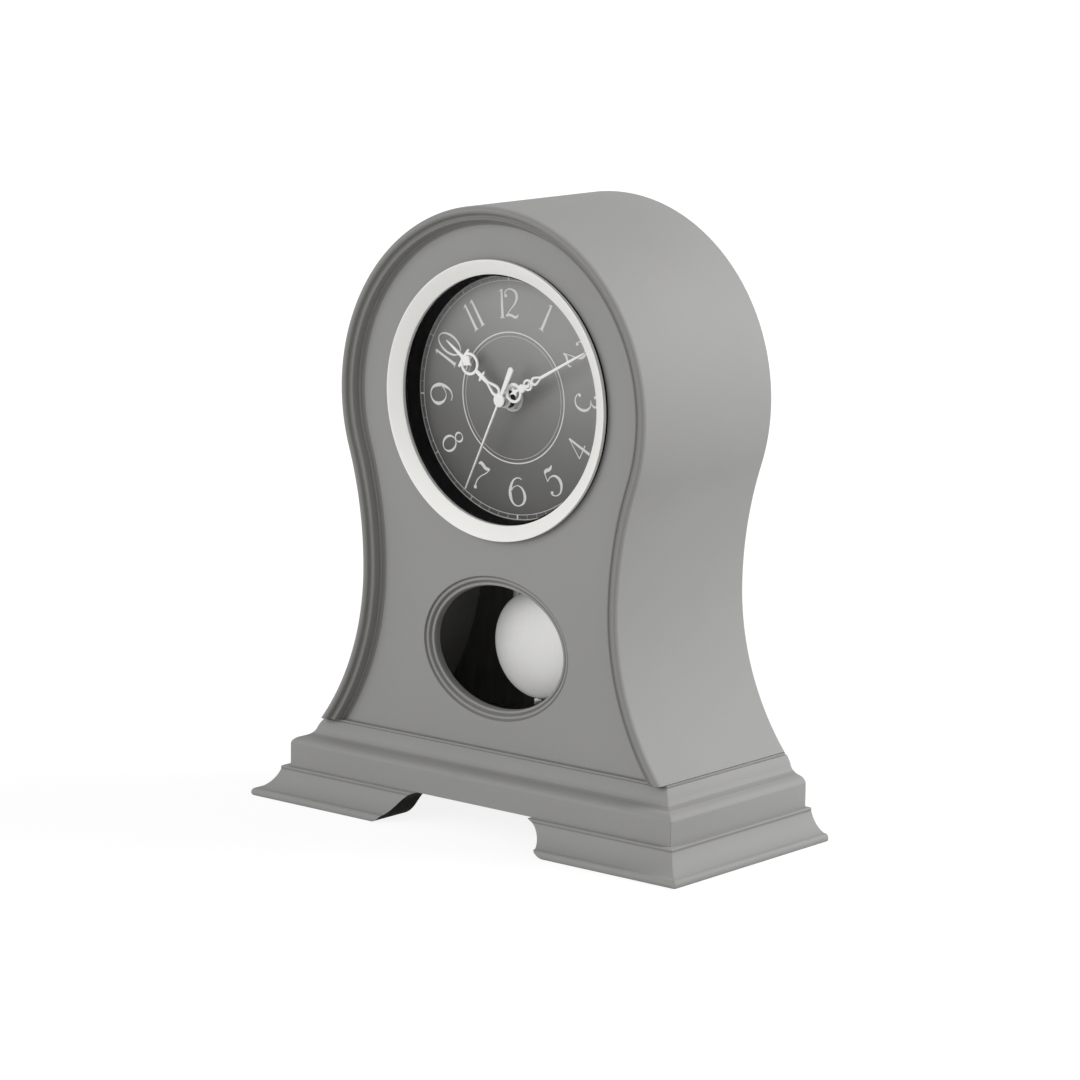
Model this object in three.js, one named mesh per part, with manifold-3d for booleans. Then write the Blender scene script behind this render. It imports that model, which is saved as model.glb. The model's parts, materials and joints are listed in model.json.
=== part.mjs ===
import * as THREE from 'three';
import { mergeVertices } from 'three/addons/utils/BufferGeometryUtils.js';
import Module from 'manifold-3d';

// A painted mantel clock with a quartz movement and a swinging pendulum behind an oval window.
// Lengths are millimetres. +X is right for someone facing the dial, -Y points at that person
// and +Z is up. The floor is z = 0 and the origin lies under the middle of the base.

// Fits between pieces
const slipFit = 0.3;
const turnFit = 0.3;
const stackGap = 0.3;

// How far a cutter runs past the face it cuts, and how deep joined shapes overlap
const overrun = 1;
const bite = 0.1;

// Base: mouldings run round the front and both sides, the back is flat
const baseWidth = 270;
const baseDepth = 121;
const footHeight = 15.4;
const footLipRadius = 2;
const footTopSetback = 10.6;
const footTopFillet = 3.4;
const plinthSetback = 14;
const plinthHeight = 11.6;
const plinthWall = 11;
const capSetback = 25.8;
const capHeight = 12.2;
const stepSetback = 26.8;
const stepHeight = 1.4;
const bracketTopHalf = 36.5;
const bracketFloorHalf = 54.5;
const bracketBow = 9;
const bracketToe = 3;

// Case: an arch that narrows to a waist and flares again to the base
const archRadius = 95.2;
const archCentreHeight = 210.7;
const waistHalf = 80.2;
const waistHeight = 120.1;
const flareRadius = 127.5;
const caseWall = 6;
const rimSetback = 21;
const rimRound = 3.5;
const rimCrest = 1.1;
const rimStep = 2.4;
const rimBead = 1;
const rimCove = 1.9;
const rimReach = 9.6;
const rimRecess = 7.85;
const panelThickness = 6;

// Oval pendulum window with a stepped edge
const windowHeight = 90.3;
const windowHalfWidth = 40.5;
const windowHalfHeight = 30.4;
const windowSteps = 3;
const windowStepWidth = 1.75;
const windowStepDepth = 1.3;

// Bezel, crystal and dial
const dialHeight = 212;
const bezelRadius = 68;
const bezelProud = 3.75;
const bezelRound = 0.6;
const bezelBow = 0.15;
const spigotDepth = 3.75;
const spigotWall = 1.7;
const crystalProud = 1.95;
const crystalLedge = 0.5;
const crystalThickness = 1.4;
const crystalClearance = 0.8;
const surroundBore = 59.7;
const surroundWall = 0.7;
const surroundFlange = 7.6;
const surroundFlangeThickness = 2;
const dialOverlap = 3.6;
const dialThickness = 1.2;

// Hands, set to ten past ten and 34 seconds. Places along a hand are distances from its centre.
const hourTurn = 304.3;
const minuteTurn = 61.3;
const secondTurn = 205;
const handThickness = 0.8;
const handSpacing = 1;
const handLine = 1.25;
const hourLength = 44;
const hourSpear = 2;
const hourHub = 4.1;
const hourDropBase = 3.4;
const hourDropTip = 15.5;
const hourDropHalf = 3;
const hourThornPlace = 17.2;
const hourThorn = 3.1;
const hourRingCentre = 26.6;
const hourRingRadius = 5.6;
const hourLeafHalf = 2.4;
const hourLeafLength = 5.6;
const hourBranchPlace = 31.1;
const hourBranch = 5.9;
const minuteLength = 58;
const minuteSpear = 1.7;
const minuteHub = 3.4;
const minuteRingCentre = 8.6;
const minuteRingRadius = 4.8;
const minuteLeafHalf = 2.6;
const minuteLeafLength = 8;
const minuteKnot = 2;
const minuteScrollCentre = 18.4;
const minuteScrollRadius = 2.8;
const minuteBud = 1.1;
const minuteDropTip = 29.5;
const minuteDropHalf = 2.2;
const secondLength = 50;
const secondNeedle = 1.1;
const secondTip = 0.6;
const secondTail = 18.2;
const paddleWidth = 3.2;
const paddleNeck = 1.4;
const secondCap = 2.9;
const secondCapRise = 0.4;

// Shafts through the dial, one inside the other
const secondShaft = 0.5;
const minuteShaftBore = secondShaft + turnFit;
const minuteShaft = minuteShaftBore + 0.5;
const hourPipeBore = minuteShaft + turnFit;
const hourPipe = hourPipeBore + 0.7;
const bushBore = hourPipe + turnFit;
const bushRadius = bushBore + 1.4;
const bushLength = 5;
const bushClearance = 1.3;
const washerRadius = 7;
const washerThickness = 0.7;
const nutRadius = 6.6;
const nutThickness = 2.5;

// Movement housing, measured from the hand centre
const housingWall = 1.6;
const housingCorner = 3;
const coverThickness = 1.6;
const batteryRib = 15.6;
const batteryRoom = 0.7;
const batteryPlay = 0.35;

// Gear train: layers are distances behind the inner face of the housing
const wheelThickness = 1.2;
const motionModule = 0.5;
const hourTeeth = 24;
const motionPinionTeeth = 6;
const cannonTeeth = 8;
const motionWheelTeeth = 24;
const settingTeeth = 9;
const trainModule = 0.42;
const pinionTeeth = 6;
const thirdTeeth = 45;
const centreTeeth = 48;
const stepModule = 0.4;
const secondTeeth = 36;
const middleTeeth = 30;
const stepPinionTeeth = 6;
const middleBearing = -60;
const layerHour = stackGap;
const layerCannon = 1.9;
const layerCentre = 3.4;
const layerThird = 5;
const layerSecond = 6.6;
const layerMiddle = 8.2;
const layerRotor = 9.6;
const arborRadius = 0.5;
const bearingRadius = 1.6;
const bearingLength = 1.4;
const studRadius = 0.4;
const rotorRadius = 2.8;
const rotorLength = 3;
const statorThickness = 1;
const statorDrop = 8.5;
const statorHeight = 17.2;
const statorHalf = 15;
const coilRadius = 3.6;
const coilLength = 20;
const coreWidth = 2.4;
const postRadius = 1.4;
const postInset = 2;
const settingShaft = 1.2;
const knobRadius = 5;
const knobNeck = 3.1;
const knobLength = 6.6;

// Battery
const batteryRadius = 7.25;
const batteryLength = 50.5;
const batteryNub = 2.75;
const batteryNubLength = 1.3;
const contactSize = 9;
const contactThickness = 0.5;

// Pendulum drive, below the stator plate
const pivotGap = 6.3;
const pivotRadius = 0.8;
const leverWidth = 5;
const leverThickness = 1.6;
const leverEye = 3.3;
const magnetArm = 10;
const magnetRadius = 4;
const magnetLength = 2.3;
const driveGap = 0.5;
const driveCoilRadius = 6;
const driveCoilLength = 4;
const driveCoilBore = 2;
const boardHalf = 20;
const boardGap = 3.5;
const boardHeight = 16;
const boardRoom = 0.9;
const boardThickness = 1.2;
const pegClearance = 8;
const pegRadius = 1.2;
const swingAngle = 8;
const swingRoom = 2.4;

// Pendulum: a twin-rod frame that carries the bob
const pendulumGap = 1.8;
const rodSpacing = 30;
const rodWidth = 4;
const rodThickness = 1.6;
const yokeHeight = 6;
const yokeDrop = 2;
const yokeEyeWall = 2.2;
const bobHeight = 87.3;
const bobRadius = 26.6;
const bobRim = 1.5;
const bobCrown = 4.5;
const rodLap = 14;
const stemRadius = 0.9;
const stemTail = 5.2;
const lugStart = 3;
const lugEnd = 14;
const ratingNutRadius = 2.8;
const ratingNutHeight = 3.4;

// Back board and its hinged door
const backSetback = 9.5;
const backThickness = 5;
const doorHalf = 52;
const doorBottom = 66;
const doorTop = 250;
const doorCorner = 6;
const doorGap = 0.6;
const hingeInset = 34;
const hingeLength = 24;
const leafWidth = 9;
const leafThickness = 0.8;
const knuckleRadius = 1.5;
const hingePin = 0.6;
const pullRadius = 6;
const pullNeck = 3.3;
const pullLength = 8.5;
const pullInset = 10;
const catchHeight = 16;
const catchDepth = 6;
const catchSeat = 8;
const catchReach = 5;
const strikePlate = 0.6;
const strikeInset = 0.5;
const strikeWidth = 6.5;

// Facets round a full circle
const fine = 40;
const medium = 18;
const small = 10;

const wasm = await Module();
wasm.setup();

const rad = THREE.MathUtils.degToRad;
const back = baseDepth / 2;
const lipFront = -baseDepth / 2;
const baseHalf = baseWidth / 2;
const caseBottom = footHeight + plinthHeight + capHeight + stepHeight;
const rimFront = lipFront + rimSetback;
const panelFront = rimFront + rimRecess;
const panelBack = panelFront + panelThickness;

// Depths from the crystal through the hands and the dial to the back of the movement
const crystalFront = panelFront - crystalProud;
const crystalBack = crystalFront + crystalThickness;
const secondFront = crystalBack + crystalClearance + secondCapRise;
const minuteFront = secondFront + handThickness + handSpacing;
const hourFront = minuteFront + handThickness + handSpacing;
const dialFront = hourFront + handThickness + bushClearance + bushLength;
const dialBack = dialFront + dialThickness;
const trainFace = dialBack + housingWall;
const coverFace = trainFace + 2 * (batteryRadius + batteryRoom);
const pendulumPlane = coverFace + coverThickness + pendulumGap;

// Housing sides follow the battery, and the drive hangs below the stator
const housingHalf = batteryLength / 2 + slipFit + contactThickness + slipFit + housingWall;
const housingUp = batteryRib + 2 * (housingWall + batteryRadius + batteryPlay);
const pivotDrop = statorDrop + statorHeight + pivotGap;
const magnetDrop = pivotDrop + magnetArm;
const boardTopDrop = pivotDrop + boardGap;
const boardBottomDrop = boardTopDrop + boardHeight;
const housingDown = boardBottomDrop + boardRoom + housingWall;
const pegDrop = housingDown + pegClearance;

// Closed three.js geometry to solid and back
function solid(geometry) {
  const bare = geometry.index ? geometry.toNonIndexed() : geometry.clone();
  bare.deleteAttribute('normal');
  bare.deleteAttribute('uv');
  const merged = mergeVertices(bare, 1e-4);
  const position = merged.attributes.position;
  const corners = [];
  let volume = 0;
  const [a, b, c] = [new THREE.Vector3(), new THREE.Vector3(), new THREE.Vector3()];
  for (let i = 0; i < merged.index.count; i += 3) {
    const face = [0, 1, 2].map((k) => merged.index.getX(i + k));
    if (new Set(face).size < 3) continue;
    corners.push(face);
    a.fromBufferAttribute(position, face[0]);
    b.fromBufferAttribute(position, face[1]);
    c.fromBufferAttribute(position, face[2]);
    volume += a.dot(b.cross(c));
  }
  const outward = volume < 0 ? corners.map(([p, q, r]) => [p, r, q]) : corners;
  return new wasm.Manifold(new wasm.Mesh({
    numProp: 3,
    vertProperties: new Float32Array(position.array),
    triVerts: new Uint32Array(outward.flat()),
  }));
}

function geometryOf(shape) {
  const mesh = shape.getMesh();
  const geometry = new THREE.BufferGeometry();
  geometry.setAttribute('position', new THREE.BufferAttribute(mesh.vertProperties.slice(), 3));
  geometry.setIndex(new THREE.BufferAttribute(mesh.triVerts.slice(), 1));
  geometry.computeVertexNormals();
  return geometry;
}

const join = (first, ...rest) => rest.reduce((sum, piece) => sum.add(piece), first);
const cut = (first, ...tools) => tools.reduce((left, tool) => left.subtract(tool), first);

// Flat plate drawn in the X-Z plane, between two depths
function plate(shape, front, rear, facets = small) {
  const geometry = new THREE.ExtrudeGeometry(shape, {
    depth: rear - front, bevelEnabled: false, steps: 1, curveSegments: facets,
  });
  return solid(geometry.rotateX(Math.PI / 2).translate(0, rear, 0));
}

// Flat board drawn in the X-Y plane, between two heights
function board(shape, bottom, top, facets = small) {
  const geometry = new THREE.ExtrudeGeometry(shape, {
    depth: top - bottom, bevelEnabled: false, steps: 1, curveSegments: facets,
  });
  return solid(geometry.translate(0, 0, bottom));
}

// Turned piece about the Y axis from [radius, depth] pairs
function turned(pairs, facets = medium, x = 0, z = 0) {
  const outline = pairs.map(([r, y]) => new THREE.Vector2(r, y));
  return solid(new THREE.LatheGeometry(outline, facets).translate(x, 0, z));
}

function rod(radius, front, rear, x = 0, z = 0, facets = small) {
  return turned([[0, front], [radius, front], [radius, rear], [0, rear]], facets, x, z);
}

function tube(radius, bore, front, rear, x = 0, z = 0, facets = small) {
  const wall = [[bore, front], [radius, front], [radius, rear], [bore, rear], [bore, front]];
  return turned(wall, facets, x, z);
}

// Upright round bar about a vertical axis
function pillar(radius, bottom, top, x, y, facets = small) {
  const geometry = new THREE.CylinderGeometry(radius, radius, top - bottom, facets);
  return solid(geometry.rotateX(Math.PI / 2).translate(x, y, (bottom + top) / 2));
}

function block(x0, x1, y0, y1, z0, z1) {
  const geometry = new THREE.BoxGeometry(x1 - x0, y1 - y0, z1 - z0);
  return solid(geometry.translate((x0 + x1) / 2, (y0 + y1) / 2, (z0 + z1) / 2));
}

function disc(x, z, radius) {
  return new THREE.Shape().absarc(x, z, radius, 0, 2 * Math.PI, false);
}

function ring(x, z, radius, bore) {
  const shape = disc(x, z, radius);
  shape.holes.push(new THREE.Path().absarc(x, z, bore, 0, 2 * Math.PI, true));
  return shape;
}

function polygon(points) {
  return new THREE.Shape(points.map(([x, z]) => new THREE.Vector2(x, z)));
}

function rectangle(x0, x1, z0, z1, corner = 0) {
  if (!corner) return polygon([[x0, z0], [x1, z0], [x1, z1], [x0, z1]]);
  const shape = new THREE.Shape();
  shape.absarc(x1 - corner, z0 + corner, corner, -Math.PI / 2, 0, false);
  shape.absarc(x1 - corner, z1 - corner, corner, 0, Math.PI / 2, false);
  shape.absarc(x0 + corner, z1 - corner, corner, Math.PI / 2, Math.PI, false);
  shape.absarc(x0 + corner, z0 + corner, corner, Math.PI, 1.5 * Math.PI, false);
  return shape;
}

// Skin over rings of equally many points, closed by a cap at each end
function loft(rings, cap) {
  const count = rings[0].length;
  const position = rings.flat().flatMap((p) => [p.x, p.y, p.z]);
  const index = [];
  for (let i = 0; i + 1 < rings.length; i += 1) {
    for (let j = 0; j < count; j += 1) {
      const k = (j + 1) % count;
      const [p, q, r, s] = [i * count + j, i * count + k, (i + 1) * count + j, (i + 1) * count + k];
      index.push(p, q, s, p, s, r);
    }
  }
  const last = (rings.length - 1) * count;
  for (const [p, q, r] of cap) {
    index.push(p, r, q, last + p, last + q, last + r);
  }
  const geometry = new THREE.BufferGeometry();
  geometry.setAttribute('position', new THREE.Float32BufferAttribute(position, 3));
  geometry.setIndex(index);
  return solid(geometry);
}

const capOf = (points) => THREE.ShapeUtils.triangulateShape(points, []);

// Case outline, inset from the outside by a constant distance, from the lower right corner over
// the arch to the lower left corner. The neck arc is the one that touches both waist and arch.
const rise = archCentreHeight - waistHeight;
const neckRadius = (waistHalf ** 2 + rise ** 2 - archRadius ** 2) / (2 * (archRadius - waistHalf));
const neckAngle = Math.atan2(rise, waistHalf + neckRadius);

function caseOutline(inset, flareSteps = 7, neckSteps = 5, archSteps = 28) {
  const points = [];
  const arc = (x, z, radius, from, to, steps, first) => {
    for (let i = first; i <= steps; i += 1) {
      const angle = from + ((to - from) * i) / steps;
      points.push(new THREE.Vector2(x + radius * Math.cos(angle), z + radius * Math.sin(angle)));
    }
  };
  const flare = flareRadius + inset;
  const foot = Math.asin((waistHeight - caseBottom) / flare);
  const neck = neckRadius + inset;
  const side = Math.PI;
  arc(waistHalf + flareRadius, waistHeight, flare, side + foot, side, flareSteps, 0);
  arc(waistHalf + neckRadius, waistHeight, neck, side, side - neckAngle, neckSteps, 1);
  arc(0, archCentreHeight, archRadius - inset, -neckAngle, side + neckAngle, archSteps, 1);
  arc(-waistHalf - neckRadius, waistHeight, neck, neckAngle, 0, neckSteps, 1);
  arc(-waistHalf - flareRadius, waistHeight, flare, 0, -foot, flareSteps, 1);
  return points;
}

// Section of the case wall as [inset, depth], from the back round the rim to the panel's seat
function rimSection() {
  const section = new THREE.Path();
  const soft = rimRound / 2;
  const crestEnd = rimRound + rimCrest;
  const beadEnd = rimReach - rimCove;
  const beadStart = beadEnd - rimBead;
  const beadFoot = rimFront + rimStep;
  section.moveTo(0, back);
  section.lineTo(0, rimFront + rimRound);
  section.bezierCurveTo(0, rimFront + soft, soft, rimFront, rimRound, rimFront);
  section.lineTo(crestEnd, rimFront);
  section.quadraticCurveTo(beadStart, rimFront, beadStart, beadFoot);
  section.quadraticCurveTo(beadStart + rimBead / 2, beadFoot - rimBead, beadEnd, beadFoot);
  section.quadraticCurveTo(beadEnd + rimCove / 6, panelFront - rimBead, rimReach, panelFront);
  section.lineTo(caseWall, panelFront);
  section.lineTo(caseWall, back);
  return section.getPoints(3);
}

function caseShell() {
  const section = rimSection();
  const outlines = section.map(({ x }) => caseOutline(x));
  const rings = outlines[0].map((_, j) => section.map(({ y }, i) => {
    const { x, y: z } = outlines[i][j];
    return new THREE.Vector3(x, y, z);
  }));
  return loft(rings, capOf(section));
}

// Block whose front and side edges follow a moulding given as [setback, height] pairs
function mouldedBlock(pairs) {
  const rings = pairs.map(([setback, z]) => {
    const [half, front] = [baseHalf - setback, lipFront + setback];
    return [[-half, front], [half, front], [half, back], [-half, back]]
      .map(([x, y]) => new THREE.Vector3(x, y, z));
  });
  return loft(rings, [[0, 1, 2], [0, 2, 3]]);
}

function mouldingPairs(path, steps) {
  return path.getPoints(steps).map(({ x, y }) => [x, y]);
}

function baseCap() {
  const [bottom, top] = [footHeight + plinthHeight, caseBottom - stepHeight];
  const nose = plinthSetback + 4.2;
  const hollow = capSetback - 2.5;
  const middle = (bottom + top) / 2;
  const curve = new THREE.Path();
  curve.moveTo(plinthSetback, bottom);
  curve.quadraticCurveTo(plinthSetback + 0.6, middle - 3.5, nose, middle - 2.7);
  curve.quadraticCurveTo(hollow - 0.9, middle - 1.5, hollow, middle + 1.5);
  curve.quadraticCurveTo(hollow + 0.9, top - 2, capSetback, top);
  return mouldedBlock([...mouldingPairs(curve, 6), [stepSetback, top], [stepSetback, caseBottom]]);
}

function plinthFrame() {
  const [half, front] = [baseHalf - plinthSetback, lipFront + plinthSetback];
  const shape = rectangle(-half, half, front, back);
  const inner = half - plinthWall;
  shape.holes.push(rectangle(-inner, inner, front + plinthWall, back - plinthWall));
  return board(shape, footHeight, footHeight + plinthHeight);
}

// One bracket foot: a moulded side with a front return that ends in a curved bracket
function bracketFoot(sideSign) {
  const neck = footTopSetback - 1;
  const curve = new THREE.Path();
  curve.moveTo(footTopSetback, footHeight);
  curve.lineTo(footTopSetback, footHeight - footTopFillet);
  curve.lineTo(neck, footHeight - footTopFillet - 0.6);
  curve.quadraticCurveTo(neck - 1, 2 * footLipRadius + 2.3, footLipRadius + 0.6, 2 * footLipRadius);
  curve.absarc(footLipRadius, footLipRadius, footLipRadius, Math.PI / 2, 1.5 * Math.PI, false);
  const whole = mouldedBlock(mouldingPairs(curve, 6));
  const inner = baseHalf - plinthSetback - plinthWall;
  const wallRear = lipFront + plinthSetback + plinthWall;
  const [low, high] = [-overrun, footHeight + overrun];
  const room = block(-inner, inner, wallRear, back + overrun, low, high);
  const [top, toe] = [sideSign * bracketTopHalf, sideSign * bracketFloorHalf];
  const bow = sideSign * bracketBow;
  const arch = new THREE.Shape();
  arch.moveTo(0, high);
  arch.lineTo(0, low);
  arch.lineTo(toe, low);
  arch.lineTo(toe, 0);
  arch.bezierCurveTo(toe - bow, bracketToe, top + bow, footHeight - bracketToe, top, footHeight);
  arch.lineTo(top, high);
  const gap = plate(arch, lipFront - overrun, wallRear + overrun, 8);
  const [left, right] = sideSign > 0 ? [-baseHalf - overrun, 0] : [0, baseHalf + overrun];
  const otherHalf = block(left, right, lipFront - overrun, back + overrun, low, high);
  return cut(whole, room, gap, otherHalf);
}

// Oval cutter whose wall steps outwards towards the front of the panel
function windowCutter() {
  const rings = [];
  const oval = (grow, y) => {
    const points = new THREE.EllipseCurve(0, windowHeight, windowHalfWidth + grow, windowHalfHeight + grow)
      .getPoints(fine).slice(0, -1);
    rings.push(points.map((p) => new THREE.Vector3(p.x, y, p.y)));
  };
  oval(0, panelBack + overrun);
  for (let i = 0; i < windowSteps; i += 1) {
    const depth = panelFront + (windowSteps - i) * windowStepDepth;
    oval(i * windowStepWidth, depth);
    oval((i + 0.7) * windowStepWidth, depth - windowStepDepth / 3);
  }
  oval(windowSteps * windowStepWidth, panelFront);
  oval(windowSteps * windowStepWidth, panelFront - overrun);
  const flat = rings[0].map((p) => new THREE.Vector2(p.x, p.z));
  return loft(rings, capOf(flat));
}

const surroundRadius = surroundBore + surroundWall;
const bezelOpening = surroundRadius + slipFit;
const spigotRadius = bezelOpening + spigotWall;
const panelHole = spigotRadius + slipFit;

function frontPanel() {
  const sheet = plate(new THREE.Shape(caseOutline(caseWall + slipFit)), panelFront, panelBack);
  const hole = rod(panelHole, panelFront - overrun, panelBack + overrun, 0, dialHeight, fine);
  return cut(sheet, hole, windowCutter());
}

// Dial group pieces, all turned about the hand centre
const crystalRadius = surroundBore + crystalLedge;

// Dished ring: its face falls from a rounded outer edge to the level of the panel
function bezelRing() {
  const crest = new THREE.Path();
  const crestFront = panelFront - bezelProud;
  const crestRadius = bezelRadius - bezelRound;
  const [halfway, halfDepth] = [(bezelOpening + crestRadius) / 2, panelFront - bezelProud / 2 - bezelBow];
  crest.moveTo(bezelOpening, panelFront);
  crest.quadraticCurveTo(halfway, halfDepth, crestRadius, crestFront);
  crest.quadraticCurveTo(bezelRadius, crestFront, bezelRadius, crestFront + bezelRound);
  crest.lineTo(bezelRadius, panelFront);
  const spigotEnd = panelFront + spigotDepth;
  const rear = [[spigotRadius, panelFront], [spigotRadius, spigotEnd], [bezelOpening, spigotEnd],
    [bezelOpening, panelFront]];
  return turned([...mouldingPairs(crest, 4), ...rear], fine);
}

// Tube from the crystal, which stands on its front edge, to the dial
function dialSurround() {
  const shoulder = panelFront + spigotDepth + slipFit;
  const outer = spigotRadius;
  const flange = outer + surroundFlange;
  const rear = panelBack + surroundFlangeThickness;
  return turned([[surroundBore, crystalBack], [surroundRadius, crystalBack], [surroundRadius, shoulder],
    [outer, shoulder], [outer, panelBack], [flange, panelBack], [flange, rear], [outer, rear],
    [outer, dialFront], [surroundBore, dialFront], [surroundBore, crystalBack]], fine);
}

// Hands: flat stampings drawn pointing up from the hand centre
const stamping = (shape, front, facets) => plate(shape, front, front + handThickness, facets);

function spear(base, tip, width, front) {
  const end = width / 2;
  const shape = polygon([[-width / 2, base], [width / 2, base], [end / 2, tip - end],
    [0, tip], [-end / 2, tip - end]]);
  return stamping(shape, front);
}

// Open drop-shaped loop with its point outwards
function dropLoop(base, tip, half, front) {
  const drop = (low, high, wide) => {
    const path = new THREE.Shape();
    path.moveTo(0, low);
    path.bezierCurveTo(1.5 * wide, low, 1.1 * wide, (low + high) / 2, 0, high);
    path.bezierCurveTo(-1.1 * wide, (low + high) / 2, -1.5 * wide, low, 0, low);
    return path;
  };
  const shape = drop(base, tip, half);
  shape.holes.push(drop(base + handLine, tip - 2.4 * handLine, half - handLine));
  return stamping(shape, front, 6);
}

// Crossbar with pointed ends
function barb(height, half, front) {
  const rise = 0.8 * handLine;
  const shape = polygon([[-half, height], [0, height - rise], [half, height], [0, height + rise]]);
  return stamping(shape, front);
}

function loop(height, radius, front, facets = 16) {
  return stamping(ring(0, height, radius, radius - handLine), front, facets);
}

// Pointed leaf that stands inside a ring
function leaf(base, length, half, front) {
  const waist = base + 0.45 * length;
  const shape = polygon([[0, base], [half / 2, waist], [half, base + 0.55 * length],
    [0, base + length], [-half, base + 0.55 * length], [-half / 2, waist]]);
  return stamping(shape, front);
}

function handHub(radius, shaft, front) {
  return tube(radius, shaft + slipFit, front, front + handThickness);
}

function hourHand() {
  const bore = rod(hourPipe + slipFit, hourFront - overrun, hourFront + handThickness + overrun);
  const [ringFoot, ringTop] = [hourRingCentre - hourRingRadius, hourRingCentre + hourRingRadius];
  const stem = rectangle(-handLine, handLine, hourDropTip - 2 * handLine, ringFoot + handLine);
  const hand = join(
    handHub(hourHub, hourPipe, hourFront),
    dropLoop(hourDropBase, hourDropTip, hourDropHalf, hourFront),
    stamping(stem, hourFront),
    barb(hourThornPlace, hourThorn, hourFront),
    loop(hourRingCentre, hourRingRadius, hourFront),
    leaf(ringTop - hourLeafLength, hourLeafLength, hourLeafHalf, hourFront),
    barb(hourBranchPlace, hourBranch, hourFront),
    spear(ringTop - handLine, hourLength, hourSpear, hourFront),
  );
  return cut(hand, bore);
}

function minuteHand() {
  const bore = rod(minuteShaft + slipFit, minuteFront - overrun, minuteFront + handThickness + overrun);
  const [ringFoot, ringTop] = [minuteRingCentre - minuteRingRadius, minuteRingCentre + minuteRingRadius];
  const scrollTop = minuteScrollCentre + minuteScrollRadius;
  const hand = join(
    handHub(minuteHub, minuteShaft, minuteFront),
    stamping(rectangle(-handLine, handLine, minuteHub - handLine, ringFoot + handLine), minuteFront),
    loop(minuteRingCentre, minuteRingRadius, minuteFront),
    leaf(ringTop - minuteLeafLength, minuteLeafLength, minuteLeafHalf, minuteFront),
    stamping(disc(0, ringTop + handLine / 2, minuteKnot), minuteFront, 10),
    loop(minuteScrollCentre, minuteScrollRadius, minuteFront, 12),
    stamping(disc(0, minuteScrollCentre - handLine, minuteBud), minuteFront, 8),
    dropLoop(scrollTop - handLine, minuteDropTip, minuteDropHalf, minuteFront),
    spear(minuteDropTip - 2 * handLine, minuteLength, minuteSpear, minuteFront),
  );
  return cut(hand, bore);
}

function secondHand() {
  const [root, tip] = [secondNeedle / 2, secondTip / 2];
  const needle = polygon([[-root, 0], [root, 0], [tip, secondLength], [-tip, secondLength]]);
  const round = paddleWidth / 2;
  const paddle = new THREE.Shape();
  paddle.moveTo(-paddleNeck / 2, 0);
  paddle.lineTo(-round, round - secondTail);
  paddle.absarc(0, round - secondTail, round, Math.PI, 2 * Math.PI, false);
  paddle.lineTo(paddleNeck / 2, 0);
  const [rear, shoulder] = [secondFront + handThickness, secondFront + handThickness / 4];
  const cap = turned([[0, secondFront - secondCapRise], [secondCap / 2, secondFront - secondCapRise / 2],
    [0.9 * secondCap, shoulder], [secondCap, rear], [0, rear]], small);
  const socket = rod(secondShaft + slipFit, shoulder, rear + overrun);
  return cut(join(stamping(needle, secondFront), stamping(paddle, secondFront, 8), cap), socket);
}

// Clock gears with pointed teeth, thinner than half the pitch so that they run with backlash
function gearShape(teeth, module, phase, x, z) {
  const pitch = (2 * Math.PI) / teeth;
  const [root, tip] = [teeth * module / 2 - 1.2 * module, teeth * module / 2 + 0.8 * module];
  const points = [];
  for (let i = 0; i < teeth; i += 1) {
    const middle = phase + i * pitch;
    for (const [radius, offset] of [[root, -0.3], [tip, 0], [root, 0.3]]) {
      const angle = middle + offset * pitch;
      points.push(new THREE.Vector2(x + radius * Math.cos(angle), z + radius * Math.sin(angle)));
    }
  }
  return new THREE.Shape(points);
}

// Phase that puts a gap of the second gear where the first has a tooth
function meshPhase(phase, teeth, otherTeeth, bearing) {
  const pitch = (2 * Math.PI) / teeth;
  const lead = phase - bearing - pitch * Math.round((phase - bearing) / pitch);
  return bearing + Math.PI - (lead * teeth) / otherTeeth + Math.PI / otherTeeth;
}

const layer = (depth) => trainFace + depth;

function gear(teeth, module, phase, depth, thickness, x = 0, z = 0) {
  return plate(gearShape(teeth, module, phase, x, z), layer(depth), layer(depth) + thickness);
}

const reach = (teeth, otherTeeth, module) => ((teeth + otherTeeth) * module) / 2;
const arborEnd = coverFace - stackGap;
const settingEnd = coverFace + coverThickness + knobLength / 2;

// Places of the arbors, seen from the front and measured from the hand centre
const motionX = reach(cannonTeeth, motionWheelTeeth, motionModule);
const settingX = motionX + reach(motionWheelTeeth, settingTeeth, motionModule);
const hourModule = (2 * motionX) / (hourTeeth + motionPinionTeeth);
const thirdX = -reach(pinionTeeth, thirdTeeth, trainModule);
const centreModule = (-2 * thirdX) / (pinionTeeth + centreTeeth);
const middleAngle = rad(middleBearing);
const middleReach = reach(secondTeeth, stepPinionTeeth, stepModule);
const [middleX, middleZ] = [middleReach * Math.cos(middleAngle), middleReach * Math.sin(middleAngle)];
const rotorReach = reach(middleTeeth, stepPinionTeeth, stepModule);
const rotorX = middleX + rotorReach * Math.cos(middleAngle);
const rotorZ = middleZ + rotorReach * Math.sin(middleAngle);

function hourWheel() {
  const rear = layer(layerHour) + wheelThickness;
  const pipe = rod(hourPipe, hourFront - handSpacing / 2, rear);
  const bore = rod(hourPipeBore, minuteFront, rear + overrun);
  return cut(join(gear(hourTeeth, hourModule, 0, layerHour, wheelThickness), pipe), bore);
}

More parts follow.
